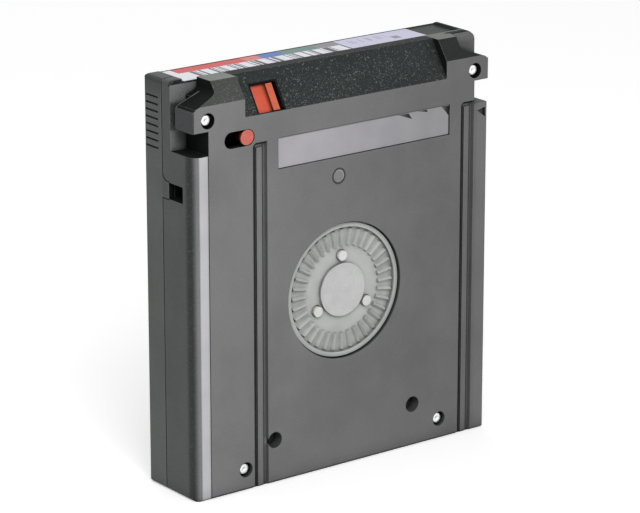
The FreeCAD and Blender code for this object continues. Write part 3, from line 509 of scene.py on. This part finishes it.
# Kinds of noise, as Shader.noise takes them.
PATCHES = (0.045, 3.0, 0.55)
GRAIN = (2.6, 3.0, 0.65)
FLECK_STRENGTH = (1.1, 2.0, 0.6)
FLECK_DRIFT = (0.35, 2.0, 0.5)

# The flecks of painted glint, in two sizes: cells for each mm, share of the cells that stay empty, where
# the fleck's bright heart ends, and its strength. FLECK_RIM is where it has faded out.
FLECKS = [(1.7, 0.50, 0.08, 1.0), (3.0, 0.42, 0.10, 0.7)]
FLECK_RIM = 0.50

# Where the flecks grow sparser, along x and up z, and the share of the cells that is emptied there.
SPARSER_X, SPARSER_Z = (-10.0, 30.0), (TOP - 8.0, TOP - 1.0)
EMPTIED_X, EMPTIED_Z = 0.22, 0.30


def quality(s, on, plain, rows):
    """A number that changes by area."""
    for name, value in rows:
        plain = s.blend(on[name], plain, value)
    return plain


def painted_glints(s):
    """Painted glints: scattered flecks of two sizes, uneven, and sparser to the right and near the label
    end's top.
    """
    sparser = s.either(s.smooth(s.x, *SPARSER_X, to_high=EMPTIED_X),
                       s.smooth(s.z, *SPARSER_Z, to_high=EMPTIED_Z))
    flecks = 0.0
    for per_mm, empty, heart, strength in FLECKS:
        distance, number = s.cells(per_mm)
        kept = s.over(number, s.math("ADD", sparser, empty))
        flecks = s.either(flecks, s.every(kept, s.smooth(distance, FLECK_RIM, heart), strength))
    drift = s.smooth(s.noise(FLECK_DRIFT), *USUAL, to_low=0.45)
    strength = s.smooth(s.noise(FLECK_STRENGTH), 0.35, 0.65, to_low=0.35, to_high=1.15)
    return s.every(flecks, drift, strength)


def case_shades(s, on):
    """Places with painted shade and light falloff, made darker or lighter, as pairs of a mask and a factor.
    """
    beside_lug = s.every(s.smooth(s.z, *LUG_SHADE_LOW), s.smooth(s.z, *LUG_SHADE_TOP))
    in_pocket = s.area(x=(0.0, None), y=(POCKET_FRONT, None))
    by_walls = s.either(s.smooth(s.y, *POCKET_SHADE_BACK), s.smooth(s.x, *POCKET_SHADE_RIGHT))
    return [
        (on["grip"], s.smooth(s.z, *GRIP_FADE, to_low=GRIP_SHADE)),
        (on["wide"], s.smooth(s.x, LEFT, RIGHT, *WIDE_SHADES)),
        (on["groove_line"], LINE_SHADE),
        (s.every(on["recess"], beside_lug), LUG_SHADE),
        (s.every(on["top"], in_pocket, by_walls), POCKET_SHADE),
    ]


def case_plastic():
    """Charcoal plastic: eroded grip bevels, smoother wide face, polished strip; painted glints, highlights
    and shade.
    """
    s = Shader("case_plastic")
    on = case_areas(s)
    share = {name: quality(s, on, *values) for name, values in QUALITIES.items()}
    grain = s.noise(GRAIN)
    color = SIDE_TONE
    for name, tone in AREA_TONES:
        color = s.mix(on[name], color, tone)
    color = s.mottled(color, s.noise(PATCHES), darkest=0.92, lightest=1.08)
    for mask, factor in case_shades(s, on):
        color = s.scaled(color, s.blend(mask, 1.0, factor))
    above_middle = s.math("SUBTRACT", grain, 0.5)
    color = s.scaled(color, s.math("MULTIPLY_ADD", above_middle, share["grain"], 1.0))
    color = s.mix(s.every(painted_glints(s), share["sparks"]), color, GLINT_TONE)

    normal, edge = s.soft_edges(radius_mm=0.35)
    # The painted corner shade is left off the grooves' lit walls.
    fine_corner_shade = s.blend(on["lit_groove_wall"], s.painted_corner_shade(reach_mm=1.5, darkest=0.20), 1.0)
    # Painted highlight on the rounded edges, weaker in corners.
    color = s.mix(s.every(edge, fine_corner_shade, share["rim_light"]), color, RIM_LIGHT_TONE)
    # Painted shade in corners and recesses, fine and broad.
    color = s.scaled(color, fine_corner_shade)
    color = s.scaled(color, s.painted_corner_shade(reach_mm=7.0, darkest=0.62))
    normal = s.bump(grain, share["relief"], depth_mm=0.05, normal=normal)
    return s.finish(color, share["roughness"], normal, Specular_IOR_Level=0.12)


# ---------------------------------------------------------------- the other finishes

# Kinds of noise, as Shader.noise takes them.
FINE_GRAIN = (3.2, 3.0, 0.6)
PLASTIC_PATCHES = (0.12, 2.0, 0.5)
SLIDER_PATCHES = (0.35, 3.0, 0.6)
STEEL_RINGS = (5.0, 2.0, 0.6)
STEEL_SCRATCHES = (4.0, 3.0, 0.6)
STEEL_STAINS = (0.3, 2.0, 0.5)
TAPE_RINGS = (3.0, 4.0, 0.7)
LABEL_FIBRES = (1.6, 4.0, 0.6)
LABEL_WEAR = (0.35, 4.0, 0.7)
FILM_CLOUDS = (0.09, 3.0, 0.55)
FILM_GRAIN = (2.5, 3.0, 0.5)
BOARD_TRACKS = (0.9, 1.0, 0.4)
LEADER_STREAKS = (0.8, 3.0, 0.6)

# How strongly the plastics' edges get a painted highlight, and in what tone.
LIT_EDGE = 0.35
EDGE_HIGHLIGHT_GREY = (0.7, 0.7, 0.7)


def satin_plastic(name, tone):
    """Moulded plastic with painted highlights on its edges and painted shade in its corners."""
    s = Shader(name)
    fine = s.noise(FINE_GRAIN)
    normal, edge = s.soft_edges(radius_mm=0.25)
    color = s.mottled(tone, s.noise(PLASTIC_PATCHES), darkest=0.93, lightest=1.06)
    color = s.mottled(color, fine, darkest=0.94, lightest=1.05, span=WIDER)
    color = s.mix(s.every(edge, LIT_EDGE), color, EDGE_HIGHLIGHT_GREY)
    color = s.scaled(color, s.painted_corner_shade(reach_mm=2.2, darkest=0.30))
    rough = s.smooth(fine, *WIDER, to_low=0.37, to_high=0.49)
    return s.finish(color, rough, s.bump(fine, strength=0.18, depth_mm=0.03, normal=normal))


# The lever's red is the plastic's own tone. The pin's and the ridge's are painted highlights, the sides'
# and the deep red painted shade, and the orange a painted highlight on the edges.
LEVER_RED = (0.640, 0.088, 0.040)
PIN_HIGHLIGHT_RED = (0.640, 0.150, 0.120)
RIDGE_HIGHLIGHT_RED = (0.600, 0.112, 0.052)
SHADED_SIDE_RED = (0.230, 0.028, 0.008)
PIN_SHADOW_RED = (0.012, 0.003, 0.002)
EDGE_HIGHLIGHT_ORANGE = (0.95, 0.42, 0.26)

# The slider's pin and the lever's ridge, and the depths behind the wide face over which painted shadow
# darkens the pin's side.
PIN_HIGH, RIDGE_WIDE = 8.0, 2.4
PIN_SHADE_SPAN = (FRONT + 0.3, FRONT + 1.4)


def slider_plastic():
    """Orange-red plastic: pin and lever ridge made paler and brighter by painted highlights, sides deep
    red-brown by painted shade.
    """
    s = Shader("slider_plastic")
    lo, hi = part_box("write_protect_slider")
    pin = s.area(z=(None, lo.z / MM + PIN_HIGH))
    ridge = s.every(s.area(x=(hi.x / MM - RIDGE_WIDE, None)), s.negate(pin))
    color = s.mix(pin, LEVER_RED, PIN_HIGHLIGHT_RED)
    color = s.mix(ridge, color, RIDGE_HIGHLIGHT_RED)
    color = s.mix(s.area(nx=(None, -0.35)), color, SHADED_SIDE_RED)
    color = s.mix(s.every(pin, s.smooth(s.y, *PIN_SHADE_SPAN)), color, PIN_SHADOW_RED)
    color = s.mottled(color, s.noise(SLIDER_PATCHES), darkest=0.92, lightest=1.08)
    normal, edge = s.soft_edges(radius_mm=0.25)
    color = s.mix(s.every(edge, LIT_EDGE), color, EDGE_HIGHLIGHT_ORANGE)
    color = s.scaled(color, s.painted_corner_shade(reach_mm=1.1, darkest=0.22, closed=0.45))
    fine = s.noise(FINE_GRAIN)
    rough = s.smooth(fine, *WIDER, to_low=0.34, to_high=0.46)
    normal = s.bump(fine, strength=0.10, depth_mm=0.03, normal=normal)
    return s.finish(color, rough, normal, Specular_IOR_Level=0.3)


# Steel's fine lines: their darkest and lightest tone as shares of the steel's own, and how much smoother
# and rougher than it they are.
LINE_DARK, LINE_LIGHT = 0.90, 1.05
LINE_SMOOTHER, LINE_ROUGHER = 0.06, 0.08


def ground_steel(name, tone, rough, axis=None):
    """Steel with fine turning rings about an (x, z) axis in mm, or with plain fine scratches."""
    s = Shader(name)
    if axis:
        lines = s.rings(STEEL_RINGS, *axis)
    else:
        lines = s.streaks(STEEL_SCRATCHES, squeeze=(0.15, 1.0, 1.0))
    color = s.mix(s.smooth(lines, *USUAL), grey(LINE_DARK * tone), grey(LINE_LIGHT * tone))
    color = s.mottled(color, s.noise(STEEL_STAINS), darkest=0.96, lightest=1.03)
    normal, _ = s.soft_edges(radius_mm=0.12)
    normal = s.bump(lines, strength=0.45, depth_mm=0.02, normal=normal)
    rough = s.smooth(lines, *USUAL, to_low=rough - LINE_SMOOTHER, to_high=rough + LINE_ROUGHER)
    return s.finish(color, rough, normal, metallic=1.0)


TAPE_DARK, TAPE_LIGHT = (0.030, 0.022, 0.018), (0.062, 0.048, 0.040)


def wound_tape():
    """Edge of the wound tape: fine rings, a few of them standing a little proud."""
    s = Shader("wound_tape")
    lo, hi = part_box("tape_pack")
    rings = s.rings(TAPE_RINGS, 0.0, (lo.z + hi.z) / 2 / MM)
    color = s.mix(s.smooth(rings, *USUAL), TAPE_DARK, TAPE_LIGHT)
    return s.finish(color, rough=0.32, normal=s.bump(rings, strength=0.3, depth_mm=0.02))


# The label end's label, in mm: x from the case's middle, and y from the line between its two halves. Each
# colour field is where it starts along x, and its tone. The lilac field covers both halves.
LABEL_WHITE = (0.80, 0.80, 0.87)
LABEL_LILAC = (0.60, 0.59, 0.76)
LABEL_WORN = (0.85, 0.85, 0.88)
BAR_INK, MARK_INK, PATCH_INK = (0.07, 0.07, 0.08), (0.12, 0.12, 0.16), (0.10, 0.10, 0.13)
FIELDS = [(-45.9, (0.60, 0.050, 0.045)), (-21.3, (0.66, 0.19, 0.18)), (-15.5, (0.06, 0.16, 0.45)),
          (-7.6, (0.11, 0.21, 0.18)), (5.0, (0.23, 0.21, 0.25))]
LILAC_FROM = 13.2
HALVES_BEHIND_MIDDLE = 1.5

# Bars in groups, small marks and a patch: their spans, widths, shares left out or filled, and strengths.
BARS_X, BAR_WIDTH, BARS_MISSING = (-42.5, 13.0), 0.42, 0.38
BARS_FRONT_MARGIN, BARS_BACK_MARGIN = 0.3, 0.1
BAR_GROUP, GROUP_FILLED = 6.7, 0.60
MARKS_X, MARKS_Y, MARK_WIDTH, MARKS_MISSING = (15.0, 30.0), (-1.4, 2.4), 0.55, 0.55
PATCH_X, PATCH_Y = (30.6, 33.4), (-3.6, -0.6)
MARK_STRENGTH, PATCH_STRENGTH = 0.45, 0.7

# Where the label's wear shows, as a span of its noise, and how strongly.
WORN_SPAN, WEAR_STRENGTH = (0.60, 0.72), 0.12


def printed_label():
    """Coated label: colour fields along its back half and a row of plain bars along its front half."""
    s = Shader("printed_label")
    lo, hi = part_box("volume_label")
    halves = (lo.y + hi.y) / 2 / MM + HALVES_BEHIND_MIDDLE

    fields = LABEL_WHITE
    for start, tone in FIELDS:
        fields = s.mix(s.over(s.x, start), fields, tone)
    in_row = s.area(x=BARS_X, y=(lo.y / MM + BARS_FRONT_MARGIN, halves - BARS_BACK_MARGIN))
    group = s.math("FRACT", s.math("DIVIDE", s.math("SUBTRACT", s.x, BARS_X[0]), BAR_GROUP))
    bars = s.every(in_row, s.over(s.random_columns(BAR_WIDTH), BARS_MISSING),
                   s.under(group, GROUP_FILLED))
    color = s.mix(s.over(s.y, halves), s.mix(bars, LABEL_WHITE, BAR_INK), fields)
    color = s.mix(s.over(s.x, LILAC_FROM), color, LABEL_LILAC)
    marks = s.every(s.area(x=MARKS_X, y=(halves + MARKS_Y[0], halves + MARKS_Y[1])),
                    s.over(s.random_columns(MARK_WIDTH), MARKS_MISSING))
    color = s.mix(s.every(marks, MARK_STRENGTH), color, MARK_INK)
    patch = s.area(x=PATCH_X, y=(halves + PATCH_Y[0], halves + PATCH_Y[1]))
    color = s.mix(s.every(patch, PATCH_STRENGTH), color, PATCH_INK)

    fibres = s.noise(LABEL_FIBRES)
    color = s.mottled(color, fibres, darkest=0.93, lightest=1.04, span=(0.25, 0.75))
    wear = s.smooth(s.noise(LABEL_WEAR), *WORN_SPAN)
    color = s.mix(s.every(wear, WEAR_STRENGTH), color, LABEL_WORN)
    normal, _ = s.soft_edges(radius_mm=0.05)
    normal = s.bump(fibres, strength=0.15, depth_mm=0.02, normal=normal)
    rough = s.smooth(fibres, *USUAL, to_low=0.34, to_high=0.46)
    return s.finish(color, rough, normal, Specular_IOR_Level=0.25)


# The film's tone at its left and right ends: the lighter left end is painted light, falling off to the
# right.
FILM_LEFT, FILM_RIGHT = (0.425, 0.41, 0.44), (0.30, 0.30, 0.315)

# The creases' painted dark reflection tone and their roughness, and how strong they are where they start.
CREASE_REFLECTION_TONE, CREASE_ROUGH = (0.008, 0.009, 0.010), 0.9
CREASE_START = 0.60

# Creases along the film's top edge near its right end, in mm from its top right corner: where each starts
# and ends, how far down its tip is, how fast it spreads below and above the tip, and its end's slant.
CREASES = [(-19.6, -14.1, 0.10, 0.36, 0.04, 0.7), (-11.9, -8.1, 0.20, 0.19, 0.0, 0.7),
           (-2.9, 0.0, 0.0, 1.1, 0.10, 0.0)]


def creases(s, right, top):
    """Mask for the painted dark reflection in the wedges where the film has lifted."""
    down = s.math("SUBTRACT", top, s.z)
    marks = 0.0
    for start, end, tip, below, above, slant in CREASES:
        length = end - start
        along = s.math("SUBTRACT", s.x, right + start)
        depth = s.math("SUBTRACT", down, tip)
        lowest = s.math("MULTIPLY", along, below)
        highest = s.math("MULTIPLY", along, above)
        last = s.math("MULTIPLY_ADD", s.math("SUBTRACT", down, length * below), slant, length)
        wedge = s.every(s.over(along, 0.0), s.under(along, last), s.between(depth, highest, lowest))
        marks = s.either(marks, s.every(wedge, s.smooth(along, 0.0, length, to_low=CREASE_START)))
    return marks


def silver_film():
    """Smooth film in the wide face's recess, painted lighter at its left end as the light falls off, and
    creased at its right.
    """
    s = Shader("silver_film")
    lo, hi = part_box("base_label")
    clouds = s.noise(FILM_CLOUDS)
    color = s.mix(s.smooth(s.x, lo.x / MM, hi.x / MM), FILM_LEFT, FILM_RIGHT)
    color = s.mottled(color, clouds, darkest=0.95, lightest=1.05)
    lifted = creases(s, hi.x / MM, hi.z / MM)
    color = s.mix(lifted, color, CREASE_REFLECTION_TONE)
    normal, _ = s.soft_edges(radius_mm=0.06)
    normal = s.bump(s.noise(FILM_GRAIN), strength=0.05, depth_mm=0.02, normal=normal)
    rough = s.smooth(clouds, *USUAL, to_low=0.30, to_high=0.38)
    return s.finish(color, s.blend(lifted, rough, CREASE_ROUGH), normal, Specular_IOR_Level=0.25)


BOARD_GREEN, TRACK_GREEN = (0.012, 0.09, 0.035), (0.03, 0.20, 0.08)
TRACK_SPAN = (0.48, 0.53)
LEADER_DARK, LEADER_LIGHT = (0.020, 0.020, 0.024), (0.040, 0.040, 0.046)


def circuit_board():
    """Green board with paler tracks."""
    s = Shader("circuit_board")
    tracks = s.streaks(BOARD_TRACKS, squeeze=(1.0, 3.0, 1.0))
    color = s.mix(s.between(tracks, *TRACK_SPAN), BOARD_GREEN, TRACK_GREEN)
    return s.finish(color, rough=0.34, normal=s.bump(tracks, strength=0.2, depth_mm=0.02))


def leader_film():
    """Dark, shiny leader tape with faint streaks."""
    s = Shader("leader_film")
    streaks = s.streaks(LEADER_STREAKS, squeeze=(0.2, 3.0, 0.2))
    color = s.mix(s.smooth(streaks, *USUAL), LEADER_DARK, LEADER_LIGHT)
    return s.finish(color, rough=0.22, normal=s.bump(streaks, strength=0.1, depth_mm=0.02))


# ---------------------------------------------------------------- pieces

def link(thing):
    bpy.context.scene.collection.objects.link(thing)


def mesh_piece(name, points, faces, material, smooth=True):
    """A new mesh object that rides on the case."""
    mesh = bpy.data.meshes.new(name)
    mesh.from_pydata([tuple(p) for p in points], [], faces)
    mesh.validate()
    mesh.update()
    if smooth:
        mesh.shade_smooth()
    piece = bpy.data.objects.new(name, mesh)
    link(piece)
    mesh.materials.append(material)
    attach(piece, "case")
    return piece


def strip_faces(first, second, count):
    """Quads that join two closed rings of points."""
    return [(first + i, first + (i + 1) % count, second + (i + 1) % count, second + i)
            for i in range(count)]


def lathe(rings, count, place):
    """Points and faces of closed rings, each given as a radius, or a function of the angle, and a depth.

    The last two faces are the lids of the first ring and of the last.
    """
    points, faces = [], []
    for k, (radius, depth) in enumerate(rings):
        for i in range(count):
            angle = 2 * math.pi * i / count
            r = radius(angle) if callable(radius) else radius
            points.append(place(r * math.cos(angle), r * math.sin(angle), depth))
        if k:
            faces += strip_faces((k - 1) * count, k * count, count)
    faces.append(tuple(reversed(range(count))))
    faces.append(tuple((len(rings) - 1) * count + i for i in range(count)))
    return points, faces


# The case screws: shank, its narrowed tip, head, the head's rolled edge and the six-lobed recess. The roll
# is a corner cut in two flats, and ROLL_IN and ROLL_DOWN place the ridge between them.
SCREW_SIDES = 60
SHANK_R, HEAD_H, ROLL = 1.25 * MM, 1.6 * MM, 0.28 * MM
ROLL_IN, ROLL_DOWN = 0.3 * ROLL, 0.4 * ROLL
TIP_SHARE, TIP_H = 0.6, 0.5 * MM
LOBES, LOBE_R, LOBE_WAVE = 6, 0.55, 0.08
RECESS_RIM_R, RECESS_RIM_H = 0.8 * MM, 0.01 * MM
RECESS_SHARE, RECESS_H = 0.9, 0.09 * MM


def recess_edge(angle):
    """Radius of the six-lobed recess at an angle."""
    return (LOBE_R + LOBE_WAVE * math.cos(LOBES * angle)) * MM


def recess_floor(angle):
    """Radius of the recess's smaller floor."""
    return RECESS_SHARE * recess_edge(angle)


def screw_with_recess(node):
    """Case screw with a rolled head edge and a six-lobed recess, in the place of the plain one."""
    lo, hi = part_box(node)
    x, z = (lo.x + hi.x) / 2, (lo.z + hi.z) / 2
    head_r = (hi.x - lo.x) / 2
    length = hi.y - lo.y
    rings = [(SHANK_R * TIP_SHARE, length), (SHANK_R, length - TIP_H), (SHANK_R, HEAD_H),
             (head_r, HEAD_H), (head_r, ROLL), (head_r - ROLL_IN, ROLL_DOWN), (head_r - ROLL, 0.0),
             (RECESS_RIM_R, 0.0), (recess_edge, RECESS_RIM_H), (recess_floor, RECESS_H)]
    points, faces = lathe(rings, SCREW_SIDES, lambda u, v, d: (x + u, lo.y + d, z + v))
    steel = ground_steel("screw_steel_" + node, tone=0.93, rough=0.42, axis=(x / MM, z / MM))
    piece = mesh_piece(node.replace("case_screw", "screw"), points, faces, steel)
    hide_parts(node)
    return piece


# The coil springs: radius to the wire's middle, the wire's own radius, and the number of turns. CLOSING is
# how far the end turns are drawn toward the ends, as a share of the length.
BRAKE_COIL_R, BRAKE_WIRE_R, BRAKE_TURNS = 10.5 * MM, 0.6 * MM, 4.0
DOOR_COIL_R, DOOR_WIRE_R, DOOR_TURNS = 1.05 * MM, 0.25 * MM, 12.0
TURN_STEPS, WIRE_SIDES = 30, 10
CLOSING = 0.05


def coil(name, material, centre, along, across, radius, wire, turns, length):
    """Round-wire coil spring from centre along a direction, with its end turns closer together."""
    total = int(turns * TURN_STEPS)
    along, across = Vector(along), Vector(across)
    third = along.cross(across)
    points, faces = [], []
    for k in range(total + 1):
        share = k / total
        eased = share - CLOSING * math.sin(2 * math.pi * share)
        angle = 2 * math.pi * k / TURN_STEPS
        around = across * math.cos(angle) + third * math.sin(angle)
        at = centre + around * radius + along * (length * eased)
        for j in range(WIRE_SIDES):
            a = 2 * math.pi * j / WIRE_SIDES
            points.append(at + around * (wire * math.cos(a)) + along * (wire * math.sin(a)))
        if k:
            faces += strip_faces((k - 1) * WIRE_SIDES, k * WIRE_SIDES, WIRE_SIDES)
    faces.append(tuple(range(WIRE_SIDES)))
    faces.append(tuple(reversed(range(len(points) - WIRE_SIDES, len(points)))))
    return mesh_piece(name, points, faces, material)


def brake_coil(material):
    """The brake's spring as a coil that rides on the case; on the cartridge it shortens toward its far end
    as the brake lifts.
    """
    lo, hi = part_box("brake_spring")
    reel_z = frame_joint("reel_spin")["pos_m"][2]
    centre = Vector(((lo.x + hi.x) / 2, lo.y + BRAKE_WIRE_R, reel_z))
    length = hi.y - lo.y - 2 * BRAKE_WIRE_R
    piece = coil("brake_coil", material, centre, (0, 1, 0), (1, 0, 0),
                 BRAKE_COIL_R, BRAKE_WIRE_R, BRAKE_TURNS, length)
    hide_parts("brake_spring")
    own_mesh(piece)
    return piece


def door_coil(material):
    """The door's spring as a coil that rides on the case; on the cartridge it shortens toward its upper end
    as the door opens.
    """
    lo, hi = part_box("door_spring")
    centre = Vector(((lo.x + hi.x) / 2, 0.0, lo.z + DOOR_WIRE_R))
    length = hi.z - lo.z - 2 * DOOR_WIRE_R
    piece = coil("door_coil", material, centre, (0, 0, 1), (1, 0, 0),
                 DOOR_COIL_R, DOOR_WIRE_R, DOOR_TURNS, length)
    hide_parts("door_spring")
    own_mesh(piece)
    return piece


# The moulding mark: its middle on the wide face, in metres, then in mm its radius and its profile, each row
# of which is how far in from that radius and how proud of the face. The finish has a ring of painted shade
# and a rim inside it, with a painted highlight where the places right of and above the middle add up to
# more than GATE_LIT_FROM.
GATE_AT = Vector((-2.4 * MM, CASE_LO.y, CASE_HI.z - 34.3 * MM))
GATE_R = 2.65
GATE_PROFILE = [(0.0, -0.02), (0.06, 0.04), (0.20, 0.04), (0.28, 0.005), (0.70, 0.005), (0.78, 0.032)]
GATE_SIDES = 64
GATE_RING, GATE_RIM = (GATE_R - 0.75, GATE_R - 0.10), (GATE_R - 1.05, GATE_R - 0.75)
GATE_LIT_FROM = 0.4
DISC_TONE, GATE_RING_SHADE, GATE_HIGHLIGHT_TONE = grey(0.235), grey(0.060), grey(0.36)


def gate_finish():
    """The moulding mark: a ring of painted shade with a rim of painted highlight about a disc like the face
    round it.
    """
    s = Shader("gate_finish")
    radius, dx, dz = s.radius(GATE_AT.x / MM, GATE_AT.z / MM)
    grain = s.noise(GRAIN)
    color = s.mix(s.between(radius, *GATE_RING), DISC_TONE, GATE_RING_SHADE)
    upper_right = s.over(s.math("ADD", dx, dz), GATE_LIT_FROM)
    color = s.mix(s.every(upper_right, s.between(radius, *GATE_RIM)), color, GATE_HIGHLIGHT_TONE)
    color = s.mottled(color, grain, darkest=0.92, lightest=1.06)
    normal = s.bump(grain, strength=0.12, depth_mm=0.05)
    return s.finish(color, rough=0.55, normal=normal, Specular_IOR_Level=0.12)


def gate_mark():
    """Round moulding mark on the wide face: a low disc inside a fine ring."""
    profile = [((GATE_R - inset) * MM, proud * MM) for inset, proud in GATE_PROFILE]
    points, faces = lathe(profile, GATE_SIDES,
                          lambda u, v, d: (GATE_AT.x + u, GATE_AT.y - d, GATE_AT.z + v))
    # The first ring's lid would lie sunk in the case.
    del faces[-2]
    return mesh_piece("gate_mark", points, faces, gate_finish(), smooth=False)


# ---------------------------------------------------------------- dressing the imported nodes

REEL_TONE, WHITE_TONE, CHIP_TONE = (0.48, 0.49, 0.48), (0.74, 0.74, 0.71), (0.02, 0.02, 0.02)


def dress():
    """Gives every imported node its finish, and adds the finer pieces."""
    case = case_plastic()
    reel = satin_plastic("reel_plastic", REEL_TONE)
    white = satin_plastic("white_plastic", WHITE_TONE)
    reel_axis = (0.0, frame_joint("reel_spin")["pos_m"][2] / MM)
    pin_steel = ground_steel("pin_steel", tone=0.66, rough=0.22)
    wire = ground_steel("wire_steel", tone=0.50, rough=0.30)
    finishes = {
        "lower_shell": case,
        "upper_shell": case,
        "door": case,
        "reel_hub": reel,
        "upper_flange": reel,
        "drive_plate": ground_steel("plate_steel", tone=0.47, rough=0.30, axis=reel_axis),
        "tape_pack": wound_tape(),
        "leader_tape": leader_film(),
        "leader_clip": white,
        "release_pad": white,
        "brake": white,
        "brake_spring": wire,
        "door_spring": wire,
        "lower_pin_spring": wire,
        "upper_pin_spring": wire,
        "memory_board": circuit_board(),
        "memory_chip": satin_plastic("chip_black", CHIP_TONE),
        "write_protect_slider": slider_plastic(),
        "volume_label": printed_label(),
        "base_label": silver_film(),
    }
    for name, node in NODES.items():
        node.data.materials.clear()
        node.data.materials.append(finishes.get(name, pin_steel))
    for name in NODES:
        if name.startswith("case_screw"):
            screw_with_recess(name)
    brake_coil(wire)
    door_coil(wire)
    gate_mark()


# ---------------------------------------------------------------- floor, light, camera

WHITE = (1, 1, 1, 1)
CENTRE = Vector((0.0, 0.0, CASE_HI.z / 2))
BACKDROP_RAYS = ("Is Camera Ray", "Is Glossy Ray", "Is Transmission Ray")

# The floor's tone as the camera, metal and glass see it, with its glow there, and its tone for other rays.
FLOOR_HALF = 6.0
FLOOR_SEEN, FLOOR_GLOW, FLOOR_PLAIN = 0.95, 0.34, 0.72

# The world's strength as light on the object, and as a white background.
WORLD_LIGHT, WORLD_SEEN = 0.34, 1.0

# Square lamps: name, place, side in metres, and watts.
LAMPS = [
    ("key", (-0.36, -0.60, 0.68), 0.45, 4.9),
    ("fill", (1.5, -1.1, 0.8), 1.2, 6.0),
    ("rim", (0.3, 1.6, 1.5), 1.2, 9.0),
]

CAMERA_AT = Vector((-0.5751, -0.7557, 0.3555))
LENS, SENSOR_W = 187.0, 36.0
CLIP_NEAR, CLIP_FAR = 0.05, 20.0


def aim(thing, at, target):
    """Puts a lamp or camera at a place and turns it toward another."""
    thing.location = at
    thing.rotation_mode = "QUATERNION"
    thing.rotation_quaternion = (Vector(target) - Vector(at)).to_track_quat("-Z", "Y")
    link(thing)


def floor():
    """A wide white floor that keeps the part's shadow."""
    corners = [(-FLOOR_HALF, -FLOOR_HALF), (FLOOR_HALF, -FLOOR_HALF), (FLOOR_HALF, FLOOR_HALF),
               (-FLOOR_HALF, FLOOR_HALF)]
    mesh = bpy.data.meshes.new("floor")
    mesh.from_pydata([(x, y, CASE_LO.z) for x, y in corners], [], [(0, 1, 2, 3)])
    plane = bpy.data.objects.new("floor", mesh)
    link(plane)
    s = Shader("floor_white")
    rays = s.add("ShaderNodeLightPath").outputs
    seen = s.either(*(rays[kind] for kind in BACKDROP_RAYS))
    s.bsdf.inputs["Emission Color"].default_value = WHITE
    s.put(s.bsdf.inputs["Emission Strength"], s.math("MULTIPLY", seen, FLOOR_GLOW))
    color = s.mix(seen, grey(FLOOR_PLAIN), grey(FLOOR_SEEN))
    mesh.materials.append(s.finish(color, rough=0.9, Specular_IOR_Level=0.1))


def world():
    """Even light all round, and a white background."""
    studio_world = bpy.data.worlds.new("studio")
    studio_world.use_nodes = True
    bpy.context.scene.world = studio_world
    tree = studio_world.node_tree
    background = tree.nodes["Background"]
    background.inputs["Color"].default_value = WHITE
    rays = tree.nodes.new("ShaderNodeLightPath").outputs
    seen = rays[BACKDROP_RAYS[0]]
    for kind in BACKDROP_RAYS[1:]:
        either = tree.nodes.new("ShaderNodeMath")
        either.operation = "MAXIMUM"
        tree.links.new(seen, either.inputs[0])
        tree.links.new(rays[kind], either.inputs[1])
        seen = either.outputs[0]
    strength = tree.nodes.new("ShaderNodeMapRange")
    strength.inputs["To Min"].default_value = WORLD_LIGHT
    strength.inputs["To Max"].default_value = WORLD_SEEN
    tree.links.new(seen, strength.inputs["Value"])
    tree.links.new(strength.outputs[0], background.inputs["Strength"])


def lamp(name, at, size, watts):
    data = bpy.data.lights.new(name, "AREA")
    data.shape = "SQUARE"
    data.size = size
    data.energy = watts
    aim(bpy.data.objects.new(name, data), at, CENTRE)


def camera():
    data = bpy.data.cameras.new("camera")
    data.sensor_width = SENSOR_W
    data.lens = LENS
    data.clip_start, data.clip_end = CLIP_NEAR, CLIP_FAR
    cam = bpy.data.objects.new("camera", data)
    aim(cam, CAMERA_AT, CENTRE)
    bpy.context.scene.camera = cam


def studio():
    floor()
    world()
    for row in LAMPS:
        lamp(*row)
    camera()
    bpy.context.scene.view_settings.view_transform = "Standard"


dress()
studio()
